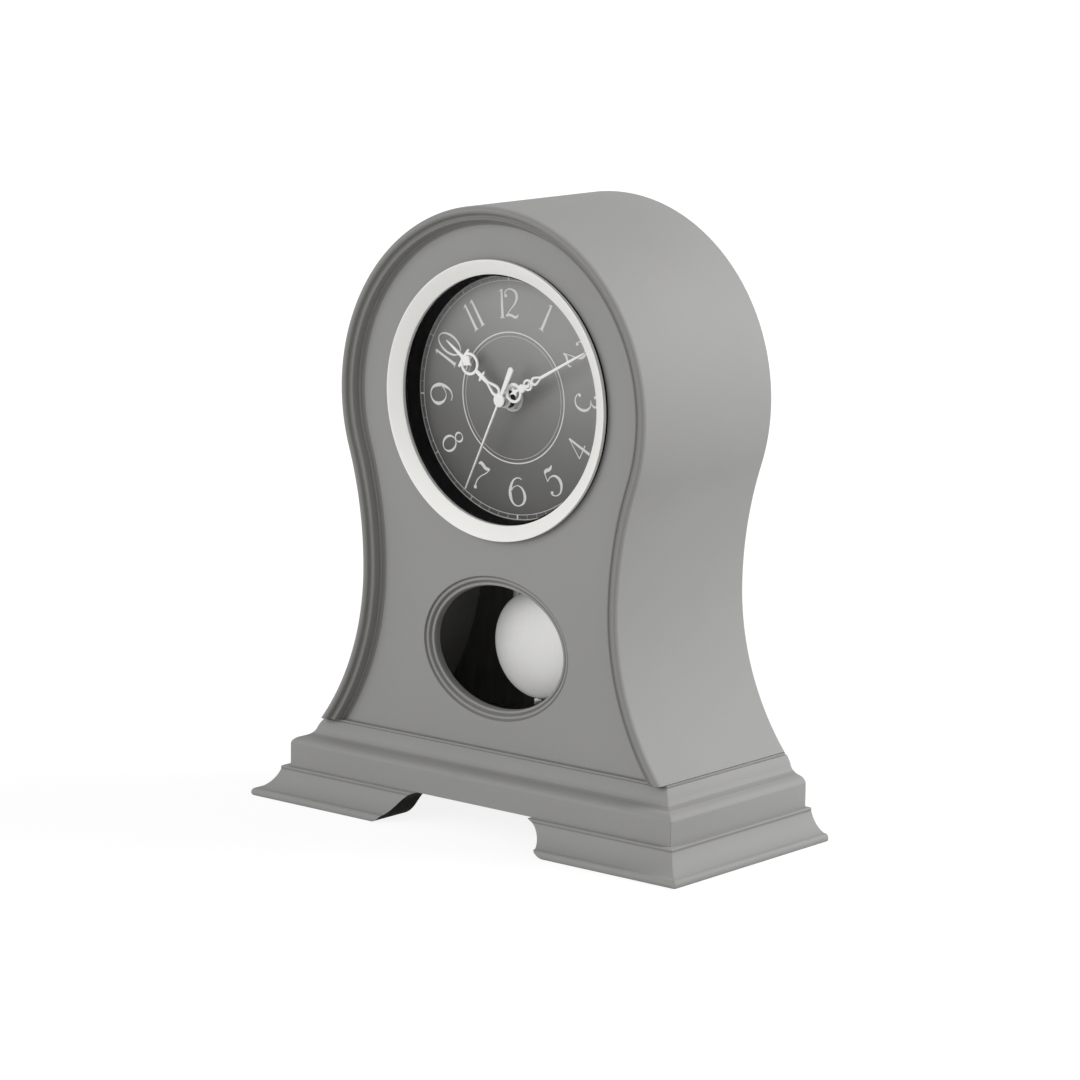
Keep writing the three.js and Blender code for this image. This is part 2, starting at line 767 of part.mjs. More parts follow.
function motionWheel() {
  const pinion = gear(motionPinionTeeth, hourModule, meshPhase(0, hourTeeth, motionPinionTeeth, 0),
    layerHour, layerCannon - layerHour + bite, motionX);
  const wheel = gear(motionWheelTeeth, motionModule, meshPhase(0, cannonTeeth, motionWheelTeeth, 0),
    layerCannon, wheelThickness, motionX);
  const bore = rod(studRadius + turnFit, trainFace - overrun, layer(layerCentre), motionX);
  return cut(join(pinion, wheel), bore);
}

function minuteArbor() {
  const rear = layer(layerCentre) + wheelThickness + bite;
  const shaft = rod(minuteShaft, minuteFront - handSpacing / 2, rear);
  const bore = rod(minuteShaftBore, secondFront, rear + overrun);
  return cut(join(shaft, gear(cannonTeeth, motionModule, 0, layerCannon, wheelThickness)), bore);
}

function settingArbor() {
  const phase = meshPhase(meshPhase(0, cannonTeeth, motionWheelTeeth, 0), motionWheelTeeth, settingTeeth, 0);
  const shaft = rod(settingShaft, layer(stackGap), settingEnd, settingX, 0);
  return join(shaft, gear(settingTeeth, motionModule, phase, layerCannon, wheelThickness, settingX));
}

function secondWheel() {
  const shaft = rod(secondShaft, secondFront + handThickness / 4 + stackGap, arborEnd);
  const pinion = gear(pinionTeeth, trainModule, 0, layerThird - bite, layerSecond - layerThird + 2 * bite);
  return join(shaft, pinion, gear(secondTeeth, stepModule, middleAngle, layerSecond, wheelThickness));
}

const thirdPhase = meshPhase(0, pinionTeeth, thirdTeeth, Math.PI);

function thirdWheel() {
  const shaft = rod(arborRadius, layer(stackGap), arborEnd, thirdX);
  const pinion = gear(pinionTeeth, centreModule, 0, layerCentre - bite, layerThird - layerCentre + 2 * bite,
    thirdX);
  return join(shaft, pinion, gear(thirdTeeth, trainModule, thirdPhase, layerThird, wheelThickness, thirdX));
}

function centreWheel() {
  const phase = meshPhase(0, pinionTeeth, centreTeeth, 0);
  const wheel = gear(centreTeeth, centreModule, phase, layerCentre, wheelThickness);
  return cut(wheel, rod(minuteShaft + slipFit, layer(0), layer(layerThird)));
}

function middleWheel() {
  const pinionPhase = meshPhase(middleAngle, secondTeeth, stepPinionTeeth, middleAngle);
  const shaft = rod(arborRadius, layer(layerSecond - bite), arborEnd, middleX, middleZ);
  const pinion = gear(stepPinionTeeth, stepModule, pinionPhase, layerSecond - bite,
    layerMiddle - layerSecond + 2 * bite, middleX, middleZ);
  return join(shaft, pinion,
    gear(middleTeeth, stepModule, middleAngle, layerMiddle, wheelThickness, middleX, middleZ));
}

function rotorPiece() {
  const phase = meshPhase(middleAngle, middleTeeth, stepPinionTeeth, middleAngle);
  const shaft = rod(arborRadius, layer(stackGap), arborEnd, rotorX, rotorZ);
  const front = layer(layerRotor);
  const pinion = gear(stepPinionTeeth, stepModule, phase, layerMiddle - bite,
    layerRotor - layerMiddle + 2 * bite, rotorX, rotorZ);
  return join(shaft, pinion, rod(rotorRadius, front, front + rotorLength, rotorX, rotorZ));
}

const statorFront = layer(layerRotor) + (rotorLength - statorThickness) / 2;
const statorBottom = -statorDrop - statorHeight;
const coreHeight = statorBottom + coilRadius - 1;
const statorCentre = rotorX - statorHalf + rotorRadius + 3;

function statorPlate() {
  const [left, right] = [statorCentre - statorHalf, statorCentre + statorHalf];
  const shape = rectangle(left, right, coreHeight - coreWidth / 2, -statorDrop);
  shape.holes.push(new THREE.Path().absarc(rotorX, rotorZ, rotorRadius + turnFit, 0, 2 * Math.PI, true));
  const slotHalf = coilLength / 2 + slipFit;
  shape.holes.push(rectangle(statorCentre - slotHalf, statorCentre + slotHalf, coreHeight + coreWidth / 2,
    coreHeight + coilRadius + slipFit));
  return plate(shape, statorFront, statorFront + statorThickness);
}

function stepCoil() {
  const geometry = new THREE.CylinderGeometry(coilRadius, coilRadius, coilLength, small);
  const middle = statorFront + statorThickness / 2;
  const winding = solid(geometry.rotateZ(Math.PI / 2).translate(statorCentre, middle, coreHeight));
  const [deep, wide] = [statorThickness / 2 + slipFit, coreWidth / 2 + slipFit];
  return cut(winding, block(statorCentre - coilLength, statorCentre + coilLength,
    middle - deep, middle + deep, coreHeight - wide, coreHeight + wide));
}

// Housing: a tray with the bush in front, a rib under the battery bay and a slot for the lever
const boardFront = trainFace + stackGap;
const coilFront = boardFront + boardThickness;
const magnetFront = coilFront + driveCoilLength + driveGap;
const leverFront = magnetFront + magnetLength;
const postPlaces = [[statorCentre - statorHalf + postInset, -statorDrop - postInset],
  [statorCentre + statorHalf - postInset, coreHeight + postInset]];

function movementHousing() {
  const [half, up, down] = [housingHalf - housingWall, housingUp - housingWall, housingDown - housingWall];
  const inside = housingCorner - housingWall;
  const box = rectangle(-housingHalf, housingHalf, -housingDown, housingUp, housingCorner);
  const outer = plate(box, dialBack, coverFace, 4);
  const open = coverFace + overrun;
  const room = plate(rectangle(-half, half, -down, batteryRib, inside), trainFace, open, 3);
  const bay = plate(rectangle(-half, half, batteryRib + housingWall, up, inside), trainFace, open, 3);
  const swing = (housingDown - pivotDrop) * Math.tan(rad(swingAngle));
  const slotHalf = leverWidth / 2 + swing + swingRoom;
  const slot = block(-slotHalf, slotHalf, leverFront - overrun, leverFront + leverThickness + overrun,
    -housingDown - overrun, -down + overrun);
  const bush = rod(bushRadius, dialFront - bushLength, trainFace);
  const bore = rod(bushBore, dialFront - bushLength - overrun, trainFace + overrun);
  const stud = rod(studRadius, trainFace - bite, layer(layerCannon) + wheelThickness, motionX);
  const posts = postPlaces.map(([x, z]) => rod(postRadius, trainFace - bite, statorFront, x, z));
  return join(cut(join(cut(outer, room, bay), bush), bore, slot), stud, ...posts);
}

function movementCover() {
  const rear = coverFace + coverThickness;
  const top = batteryRib + housingWall;
  const outline = rectangle(-housingHalf, housingHalf, -housingDown, top, housingCorner);
  const lid = plate(outline, coverFace, rear, 4);
  const hole = rod(settingShaft + turnFit, coverFace - overrun, rear + overrun, settingX, 0);
  const front = coverFace - bearingLength;
  const bearings = [[0, 0], [thirdX, 0], [middleX, middleZ], [rotorX, rotorZ]]
    .map(([x, z]) => tube(bearingRadius, arborRadius + turnFit, front, coverFace + bite, x, z));
  return join(cut(lid, hole), ...bearings);
}

function settingKnob() {
  const front = coverFace + coverThickness + stackGap;
  const rear = front + knobLength;
  const [collar, shoulder, chamfer] = [0.15 * knobLength, 0.27 * knobLength, 0.12 * knobRadius];
  const body = turned([[0, front], [knobNeck, front], [knobNeck, front + collar],
    [knobRadius, front + shoulder], [knobRadius, rear - chamfer], [knobRadius - chamfer, rear],
    [0, rear]], medium, settingX, 0);
  const socket = rod(settingShaft + slipFit, front - overrun, settingEnd + stackGap, settingX, 0);
  return cut(body, socket);
}

// Battery lying across the bay with its button to the right
const batteryHeight = (batteryRib + housingUp) / 2;
const batteryDepth = (trainFace + coverFace) / 2;

function batteryCell() {
  const body = batteryLength - batteryNubLength;
  const pairs = [[0, -batteryLength / 2], [batteryRadius, -batteryLength / 2],
    [batteryRadius, body - batteryLength / 2], [batteryNub, body - batteryLength / 2],
    [batteryNub, batteryLength / 2], [0, batteryLength / 2]];
  const outline = pairs.map(([r, y]) => new THREE.Vector2(r, y));
  const geometry = new THREE.LatheGeometry(outline, medium).rotateZ(-Math.PI / 2);
  return solid(geometry.translate(0, batteryDepth, batteryHeight));
}

function contactStrip(sideSign) {
  const near = sideSign * (batteryLength / 2 + slipFit);
  const far = near + sideSign * contactThickness;
  const half = contactSize / 2;
  return block(Math.min(near, far), Math.max(near, far), batteryDepth - half, batteryDepth + half,
    batteryHeight - half, batteryHeight + half);
}

// Pendulum drive: lever on a pin, magnet on the lever, coil on the circuit board
function driveLever() {
  const rear = leverFront + leverThickness;
  const half = leverWidth / 2;
  const arm = rectangle(-half, half, -pegDrop - half, -pivotDrop);
  const eye = plate(disc(0, -pivotDrop, leverEye), leverFront, rear);
  const end = pendulumPlane + rodThickness;
  const peg = rod(pegRadius, rear - bite, end, 0, -pegDrop);
  const hole = rod(pivotRadius + turnFit, leverFront - overrun, rear + overrun, 0, -pivotDrop);
  return cut(join(plate(arm, leverFront, rear), eye, peg), hole);
}

function circuitBoard() {
  const shape = rectangle(-boardHalf, boardHalf, -boardBottomDrop, -boardTopDrop, 1);
  return plate(shape, boardFront, coilFront, 3);
}

// Pendulum frame and bob, in heights above the floor
const yokeFront = pendulumPlane - rodThickness;
const pegHeight = dialHeight - pegDrop;
const rodX = rodSpacing / 2;

function pendulumYoke() {
  const [half, high] = [rodX + rodWidth / 2, pegHeight - yokeDrop];
  const low = high - yokeHeight;
  const bow = new THREE.Shape();
  bow.moveTo(-half, low - yokeHeight);
  bow.lineTo(-half + rodWidth, low - yokeHeight);
  bow.quadraticCurveTo(-half + rodWidth, low, 0, low);
  bow.quadraticCurveTo(half - rodWidth, low, half - rodWidth, low - yokeHeight);
  bow.lineTo(half, low - yokeHeight);
  bow.quadraticCurveTo(half, high, 0, high);
  bow.quadraticCurveTo(-half, high, -half, low - yokeHeight);
  const bore = pegRadius + slipFit;
  const eye = plate(disc(0, pegHeight, bore + yokeEyeWall), yokeFront, pendulumPlane, medium);
  const hole = rod(bore, yokeFront - overrun, pendulumPlane + overrun, 0, pegHeight);
  return cut(join(plate(bow, yokeFront, pendulumPlane, 6), eye), hole);
}

function pendulumRod(sideSign) {
  const x = sideSign * rodX;
  const low = bobHeight - rodLap;
  return block(x - rodWidth / 2, x + rodWidth / 2, pendulumPlane, pendulumPlane + rodThickness,
    low, pegHeight - yokeDrop - yokeHeight);
}

function pendulumBob() {
  const rimFrontDepth = pendulumPlane - bobRim;
  const dome = new THREE.EllipseCurve(0, rimFrontDepth, bobRadius, bobCrown, -Math.PI / 2, 0)
    .getPoints(6).map(({ x, y }) => [Math.max(x, 0), y]);
  dome[0][0] = 0;
  return turned([...dome, [bobRadius, pendulumPlane], [0, pendulumPlane]], fine, 0, bobHeight);
}

const bobBottom = bobHeight - bobRadius;
const stemDepth = pendulumPlane + stemRadius + bite;

function ratingStem() {
  const lug = block(-2 * stemRadius, 2 * stemRadius, pendulumPlane, stemDepth + stemRadius,
    bobBottom + lugStart, bobBottom + lugEnd);
  return join(lug, pillar(stemRadius, bobBottom - stemTail, bobBottom + lugStart + bite, 0, stemDepth));
}

function ratingNut() {
  const top = bobBottom - stackGap;
  const body = pillar(ratingNutRadius, top - ratingNutHeight, top, 0, stemDepth, medium);
  const bore = stemRadius + slipFit;
  return cut(body, pillar(bore, top - ratingNutHeight - overrun, top + overrun, 0, stemDepth));
}

// Back board, door and hinges
const backRear = back - backSetback;
const backFront = backRear - backThickness;
const openingHalf = doorHalf + doorGap;
const pullHeight = (doorBottom + doorTop) / 2;
const hingeX = doorHalf + doorGap / 2;
const hingeY = backRear + knuckleRadius;

function backBoard() {
  const shape = new THREE.Shape(caseOutline(caseWall + slipFit));
  shape.holes.push(rectangle(-openingHalf, openingHalf, doorBottom - doorGap, doorTop + doorGap, doorCorner));
  return plate(shape, backFront, backRear, 6);
}

function backDoor() {
  const shape = rectangle(-doorHalf, doorHalf, doorBottom, doorTop, doorCorner - doorGap);
  return plate(shape, backFront, backRear, 6);
}

// Half of a butt hinge: the fixed leaf has the outer two knuckles, the door leaf the middle one
function hingeLeaf(height, onDoor) {
  const sideSign = onDoor ? -1 : 1;
  const third = hingeLength / 3;
  const spans = onDoor ? [[-third / 2 + turnFit / 2, third / 2 - turnFit / 2]]
    : [[-hingeLength / 2, -third / 2 - turnFit / 2], [third / 2 + turnFit / 2, hingeLength / 2]];
  const bar = (near, far, low, high) => {
    const [a, b] = [hingeX + sideSign * near, hingeX + sideSign * far];
    return block(Math.min(a, b), Math.max(a, b), backRear, backRear + leafThickness,
      height + low, height + high);
  };
  const inner = knuckleRadius + turnFit;
  const leaf = bar(inner, inner + leafWidth, -hingeLength / 2, hingeLength / 2);
  const knuckles = spans.flatMap(([low, high]) => [bar(turnFit, inner + bite, low, high),
    pillar(knuckleRadius, height + low, height + high, hingeX, hingeY)]);
  const bore = pillar(hingePin + turnFit, height - hingeLength, height + hingeLength, hingeX, hingeY, 8);
  return cut(join(leaf, ...knuckles), bore);
}

function hingePinBar(height) {
  return pillar(hingePin, height - hingeLength / 2, height + hingeLength / 2, hingeX, hingeY, 8);
}

function doorPull() {
  const rear = backRear + pullLength;
  const along = (share) => backRear + share * pullLength;
  return turned([[0, backRear], [1.25 * pullNeck, backRear], [pullNeck, along(0.24)],
    [pullNeck, along(0.4)], [pullRadius, along(0.6)], [pullRadius, along(0.83)],
    [0.67 * pullRadius, rear], [0, rear]], medium, -doorHalf + pullInset, pullHeight);
}

// Magnet catch: the block is fixed inside the board and its end is the door's stop
const strikeFront = backFront - strikePlate;

function catchMagnet() {
  const outer = -openingHalf - catchSeat;
  const [low, high] = [pullHeight - catchHeight / 2, pullHeight + catchHeight / 2];
  const front = backFront - catchDepth;
  const fixed = block(outer, -openingHalf - slipFit, front, backFront, low, high);
  return join(fixed, block(outer, -doorHalf + catchReach, front, strikeFront - slipFit, low, high));
}

function catchStrike() {
  const edge = -doorHalf + strikeInset;
  return block(edge, edge + strikeWidth, strikeFront, backFront,
    pullHeight - catchHeight / 2, pullHeight + catchHeight / 2);
}

// Finishes
function finish(color, roughness, metalness) {
  return new THREE.MeshStandardMaterial({ color, roughness, metalness });
}

const paint = () => finish(0x9a9894, 0.75, 0);
const whiteLacquer = () => finish(0xe2e0da, 0.4, 0);
const handPaint = () => finish(0xf0eee6, 0.5, 0);
const blackPlastic = () => finish(0x161616, 0.55, 0);
const whitePlastic = () => finish(0xd8d6cf, 0.5, 0);
const brass = () => finish(0xb8924a, 0.35, 0.9);
const steel = () => finish(0xa9abad, 0.35, 0.9);
const copper = () => finish(0xa5552f, 0.45, 0.6);
const darkBoard = () => finish(0x2f2c28, 0.85, 0);

function piece(name, shape, material) {
  const mesh = new THREE.Mesh(geometryOf(shape), material);
  mesh.name = name;
  return mesh;
}

function group(height, ...meshes) {
  const holder = new THREE.Group();
  holder.position.z = height;
  holder.add(...meshes);
  return holder;
}

const turnedTo = (mesh, degrees) => {
  mesh.rotation.y = rad(degrees);
  return mesh;
};

const clock = new THREE.Group();
clock.add(
  piece('foot_left', bracketFoot(-1), paint()),
  piece('foot_right', bracketFoot(1), paint()),
  piece('plinth_frame', plinthFrame(), paint()),
  piece('base_cap', baseCap(), paint()),
  piece('case_shell', caseShell(), paint()),
  piece('front_panel', frontPanel(), paint()),
  piece('back_board', backBoard(), darkBoard()),
  piece('back_door', backDoor(), darkBoard()),
  piece('door_pull', doorPull(), brass()),
  piece('catch_magnet', catchMagnet(), blackPlastic()),
  piece('catch_strike', catchStrike(), steel()),
);
for (const [place, height] of [['lower', doorBottom + hingeInset], ['upper', doorTop - hingeInset]]) {
  clock.add(
    piece(`hinge_${place}_fixed_leaf`, hingeLeaf(height, false), brass()),
    piece(`hinge_${place}_door_leaf`, hingeLeaf(height, true), brass()),
    piece(`hinge_${place}_pin`, hingePinBar(height), brass()),
  );
}

const washerFront = dialFront - washerThickness;
const hexNut = cut(rod(nutRadius, washerFront - nutThickness, washerFront, 0, 0, 6),
  rod(bushRadius + slipFit, washerFront - nutThickness - overrun, washerFront + overrun));
const dialRadius = spigotRadius + dialOverlap;
const dialPlate = tube(dialRadius, bushRadius + slipFit, dialFront, dialBack, 0, 0, fine);
const crystalDisc = rod(crystalRadius, crystalFront, crystalBack, 0, 0, fine);
const driveCoil = tube(driveCoilRadius, driveCoilBore, coilFront, coilFront + driveCoilLength,
  0, -magnetDrop, medium);

clock.add(group(dialHeight,
  piece('bezel', bezelRing(), whiteLacquer()),
  piece('crystal', crystalDisc, finish(0xeef2f2, 0.05, 0)),
  piece('dial_surround', dialSurround(), blackPlastic()),
  piece('dial_plate', dialPlate, finish(0x77746e, 0.6, 0)),
  turnedTo(piece('hour_hand', hourHand(), handPaint()), hourTurn),
  turnedTo(piece('minute_hand', minuteHand(), handPaint()), minuteTurn),
  turnedTo(piece('second_hand', secondHand(), handPaint()), secondTurn),
  piece('bush_washer', tube(washerRadius, bushRadius + slipFit, washerFront, dialFront), steel()),
  piece('bush_nut', hexNut, steel()),
  piece('movement_housing', movementHousing(), blackPlastic()),
  piece('movement_cover', movementCover(), blackPlastic()),
  piece('hour_wheel', hourWheel(), brass()),
  piece('motion_wheel', motionWheel(), whitePlastic()),
  piece('minute_arbor', minuteArbor(), brass()),
  piece('setting_arbor', settingArbor(), whitePlastic()),
  piece('setting_knob', settingKnob(), blackPlastic()),
  piece('centre_wheel', centreWheel(), whitePlastic()),
  piece('third_wheel', thirdWheel(), whitePlastic()),
  piece('second_wheel', secondWheel(), steel()),
  piece('middle_wheel', middleWheel(), whitePlastic()),
  piece('step_rotor', rotorPiece(), steel()),
  piece('stator_plate', statorPlate(), steel()),
  piece('step_coil', stepCoil(), copper()),
  piece('circuit_board', circuitBoard(), finish(0x27543a, 0.6, 0)),
  piece('battery_cell', batteryCell(), finish(0x35373b, 0.4, 0.4)),
  piece('battery_contact_right', contactStrip(1), steel()),
  piece('battery_contact_left', contactStrip(-1), steel()),
  piece('drive_coil', driveCoil, copper()),
  piece('lever_pin', rod(pivotRadius, layer(stackGap), arborEnd, 0, -pivotDrop), steel()),
  piece('drive_lever', driveLever(), whitePlastic()),
  piece('drive_magnet', rod(magnetRadius, magnetFront, leverFront, 0, -magnetDrop, medium), steel()),
));

clock.add(
  piece('pendulum_yoke', pendulumYoke(), steel()),
  piece('pendulum_rod_left', pendulumRod(-1), steel()),
  piece('pendulum_rod_right', pendulumRod(1), steel()),
  piece('pendulum_bob', pendulumBob(), finish(0xd2d1cd, 0.45, 0.3)),
  piece('rating_stem', ratingStem(), steel()),
  piece('rating_nut', ratingNut(), steel()),
);

export default clock;
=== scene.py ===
import json
import math

import bmesh
import bpy
from mathutils import Matrix, Vector
from mathutils.geometry import delaunay_2d_cdt

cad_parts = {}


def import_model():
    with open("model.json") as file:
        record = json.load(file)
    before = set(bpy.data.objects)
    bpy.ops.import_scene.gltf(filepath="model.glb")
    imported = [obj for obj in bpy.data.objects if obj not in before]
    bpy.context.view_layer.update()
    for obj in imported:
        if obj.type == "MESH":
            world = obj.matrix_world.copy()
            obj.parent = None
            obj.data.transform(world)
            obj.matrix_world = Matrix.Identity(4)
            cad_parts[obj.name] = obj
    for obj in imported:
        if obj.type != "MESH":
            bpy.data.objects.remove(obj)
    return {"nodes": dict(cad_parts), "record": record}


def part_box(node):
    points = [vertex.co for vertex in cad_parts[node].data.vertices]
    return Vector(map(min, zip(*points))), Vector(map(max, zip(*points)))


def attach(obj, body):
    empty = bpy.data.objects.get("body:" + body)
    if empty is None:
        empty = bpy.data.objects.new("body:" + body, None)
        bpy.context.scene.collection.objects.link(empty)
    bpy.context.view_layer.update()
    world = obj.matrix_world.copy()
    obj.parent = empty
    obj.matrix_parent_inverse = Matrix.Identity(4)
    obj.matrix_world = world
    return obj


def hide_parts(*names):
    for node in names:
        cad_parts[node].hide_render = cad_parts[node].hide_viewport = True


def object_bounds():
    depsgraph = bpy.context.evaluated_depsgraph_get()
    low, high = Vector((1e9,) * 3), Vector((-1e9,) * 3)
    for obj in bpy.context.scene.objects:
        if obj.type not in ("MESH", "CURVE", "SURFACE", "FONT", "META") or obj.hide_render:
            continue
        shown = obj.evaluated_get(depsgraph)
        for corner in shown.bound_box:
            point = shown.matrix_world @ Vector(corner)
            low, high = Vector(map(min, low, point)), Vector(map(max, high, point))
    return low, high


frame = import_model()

# A painted mantel clock with a pendulum behind an oval window. Lengths are metres.
# +X is right for someone facing the dial, -Y points at that person and +Z is up.

CAD_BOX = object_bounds()
MM = 0.001
TURN = 2 * math.pi

# Places of the frame's nodes
CASE_LOW, CASE_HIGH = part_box("case_shell")
PANEL_LOW, PANEL_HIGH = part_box("front_panel")
BEZEL_LOW, BEZEL_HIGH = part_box("bezel")
CRYSTAL_LOW, CRYSTAL_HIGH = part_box("crystal")
DIAL_LOW, DIAL_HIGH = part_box("dial_plate")
BACK = CASE_HIGH.y
RIM_FRONT = CASE_LOW.y
CASE_BOTTOM = CASE_LOW.z
PANEL_FRONT = PANEL_LOW.y
PANEL_BACK = PANEL_HIGH.y
DIAL_FRONT = DIAL_LOW.y
DIAL_CENTRE = (BEZEL_LOW + BEZEL_HIGH) / 2

# Play round a piece that fits into another
FIT = 0.3 * MM

# Case outline: an arch that narrows to a waist and flares again to the base
ARCH_RADIUS = 95.2 * MM
ARCH_HEIGHT = 210.7 * MM
WAIST_HALF = 80.2 * MM
WAIST_HEIGHT = 120.1 * MM
FLARE_RADIUS = 127.5 * MM
CASE_WALL = 6 * MM
PANEL_INSET = CASE_WALL + FIT
RISE = ARCH_HEIGHT - WAIST_HEIGHT
NECK_RADIUS = (WAIST_HALF**2 + RISE**2 - ARCH_RADIUS**2) / (2 * (ARCH_RADIUS - WAIST_HALF))
NECK_ANGLE = math.atan2(RISE, WAIST_HALF + NECK_RADIUS)

# Rim: an outer rounding, then curves in millimetres from the last point past one and on to the next
RIM_ROUND = 2.4 * MM
RIM_CURVES = [((3.5, 0), (3.9, 1)), ((4.3, 2.9), (5.6, 2.4)), ((6.4, 1.3), (7, 2.5)),
              ((7.6, 4), (7.8, 5.6)), ((8.2, 5.7), (8.4, 6.4))]
RIM_COVE = (8.7, 7.4)
RIM_REACH = 9.6 * MM
BACK_ROUND = 1.2 * MM

# Oval window with a moulded edge
WINDOW_HEIGHT = 90.3 * MM
WINDOW_HALF_WIDTH = 40.5 * MM
WINDOW_HALF_HEIGHT = 30.4 * MM
WINDOW_STEPS = 3
STEP_WIDTH = 1.75 * MM
STEP_DEPTH = 1.3 * MM
# Share of the edge's width, and depth in steps: a soft edge, a narrow bead and a wide one
WINDOW_SECTION = [
    (1, 0), (0.97, 0.12), (0.92, 0.6), (0.86, 0.95), (0.8, 0.8), (0.72, 0.6), (0.62, 0.62),
    (0.54, 0.9), (0.46, 1.6), (0.39, 1.95), (0.32, 1.7), (0.24, 1.5), (0.14, 1.5), (0.06, 1.8),
    (0.01, 2.6), (0, 3.2)]
# Numbers of the stretches between these points that take painted shade
WINDOW_SHADED = {1, 2, 3, 7, 8, 9, 13, 14}
WINDOW_FINE = 5

# Base mouldings
BASE_HALF = CAD_BOX[1].x
LIP_FRONT = CAD_BOX[0].y
CORNER = 0.5 * MM
WALL = 11 * MM
PLINTH_SETBACK = 14 * MM
CAP_SETBACK = 25.8 * MM
STEP_SETBACK = 26.8 * MM
PLINTH_BOTTOM, PLINTH_TOP = (corner.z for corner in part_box("plinth_frame"))
CAP_STEP = 1.4 * MM
CAP_GAP = 0.35 * MM
CAP_EASE = 0.2 * MM
CAP_RECESS = 1.5 * MM
FOOT_TOP_SETBACK = 10.6 * MM
FOOT_FILLET = 3.4 * MM
FOOT_EASE = 0.7 * MM
LIP_RADIUS = 2 * MM
LIP_SET = 0.6 * MM
SOLE_ROUND = 1.4 * MM
BRACKET_TOP = 36.5 * MM
BRACKET_TOE = 54.5 * MM
BRACKET_BOW = 9 * MM
BRACKET_LIFT = 3 * MM

# Bezel and dial
BEZEL_OPENING = 60.7 * MM
BEZEL_RADIUS = (BEZEL_HIGH.x - BEZEL_LOW.x) / 2
BEZEL_ROUND = 0.3 * MM
BEZEL_BOW = 0.15 * MM
BEZEL_BAND = 67.6 * MM
BEZEL_WALL = 2 * MM
BORE_WHITE = 1.9 * MM
CRYSTAL_EASE = 0.2 * MM
FLANGE_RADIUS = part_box("dial_surround")[1].x
FLANGE_THICKNESS = 2 * MM
TUBE_BORE = 59.7 * MM
TUBE_RADIUS = 60.4 * MM
SPIGOT_RADIUS = 62.4 * MM
PANEL_HOLE = SPIGOT_RADIUS + FIT
PRINT_LIFT = 0.06 * MM

# Points nearer than these become one, in pieces and in nodes
WELD = 1e-7
NODE_WELD = 1e-6


# Curves in a plane

def arc(x, z, radius, start, end, steps):
    """Points of an arc from one angle to another, in radians."""
    turns = [start + (end - start) * i / steps for i in range(steps + 1)]
    return [(x + radius * math.cos(t), z + radius * math.sin(t)) for t in turns]


def oval(x, z, half_width, half_height, steps):
    turns = [TURN * i / steps for i in range(steps)]
    return [(x + half_width * math.cos(t), z + half_height * math.sin(t)) for t in turns]


def bow(a, b, c, steps):
    """Points of a quadratic curve from a to c that is pulled towards b."""
    shares = [i / steps for i in range(steps + 1)]
    return [tuple((1 - t) ** 2 * p + 2 * t * (1 - t) * q + t * t * r for p, q, r in zip(a, b, c))
            for t in shares]


def spline(points, steps):
    """Smooth curve through points of any dimension."""
    ends = [points[0], *points, points[-1]]
    made = []
    for a, b, c, d in zip(ends, ends[1:], ends[2:], ends[3:]):
        for i in range(steps):
            t = i / steps
            made.append(tuple(
                q + 0.5 * t * (r - p + t * (2 * p - 5 * q + 4 * r - s + t * (3 * (q - r) + s - p)))
                for p, q, r, s in zip(a, b, c, d)))
    return [*made, tuple(points[-1])]


STROKE_STEPS = 6


def ribbon(points):
    """Outline of a stroke through (x, z, width) points."""
    line = spline(points, STROKE_STEPS) if len(points) > 2 else points
    left, right = [], []
    for i, (x, z, width) in enumerate(line):
        before, after = line[max(i - 1, 0)], line[min(i + 1, len(line) - 1)]
        along = Vector((after[0] - before[0], after[1] - before[1])).normalized()
        reach = width / 2
        left.append((x - along.y * reach, z + along.x * reach))
        right.append((x + along.y * reach, z - along.x * reach))
    return left + right[::-1]


# Shells: vertices with the faces between them

def skin(rings, loop=False, closed=True, caps=True):
    """Faces between rings of equally many points. A loop joins the last ring to the first."""
    count = len(rings[0])
    vertices = [point for ring in rings for point in ring]
    faces = []
    for i in range(len(rings) if loop else len(rings) - 1):
        near, far = i * count, (i + 1) % len(rings) * count
        for j in range(count if closed else count - 1):
            k = (j + 1) % count
            faces.append((near + j, near + k, far + k, far + j))
    if caps and not loop:
        last = (len(rings) - 1) * count
        faces += [tuple(range(count)), tuple(range(last, last + count))]
    return vertices, faces


AXES = {"X": (1, 2, 0), "Y": (2, 0, 1), "Z": (0, 1, 2)}


def lathe(profile, centre=DIAL_CENTRE, axis="Y", steps=96, loop=False, shape=None, caps=True):
    """Turns (radius, place along the axis) pairs. shape(radius, angle) can change a radius."""
    across, up, along = AXES[axis]
    rings = []
    for radius, place in profile:
        ring = []
        for i in range(steps):
            angle = TURN * i / steps
            reach = shape(radius, angle) if shape else radius
            point = [0, 0, 0]
            point[across] = centre[across] + reach * math.cos(angle)
            point[up] = centre[up] + reach * math.sin(angle)
            point[along] = place
            ring.append(tuple(point))
        rings.append(ring)
    return skin(rings, loop, caps=caps)


def eased(inner, outer, low, high, ease):
    """Profile of a disc or ring with eased outer edges."""
    return [(inner, low), (outer - ease, low), (outer, low + ease), (outer, high - ease),
            (outer - ease, high), (inner, high)]


def anticlockwise(line):
    """The same closed line, turned round where it runs clockwise."""
    area = sum(a[0] * b[1] - b[0] * a[1] for a, b in zip(line, [*line[1:], line[0]]))
    return line if area > 0 else line[::-1]


def mapped(parts, change):
    """The same outlines and holes with a change to every point."""
    return [([change(*point) for point in outline],
             [[change(*point) for point in hole] for hole in holes]) for outline, holes in parts]


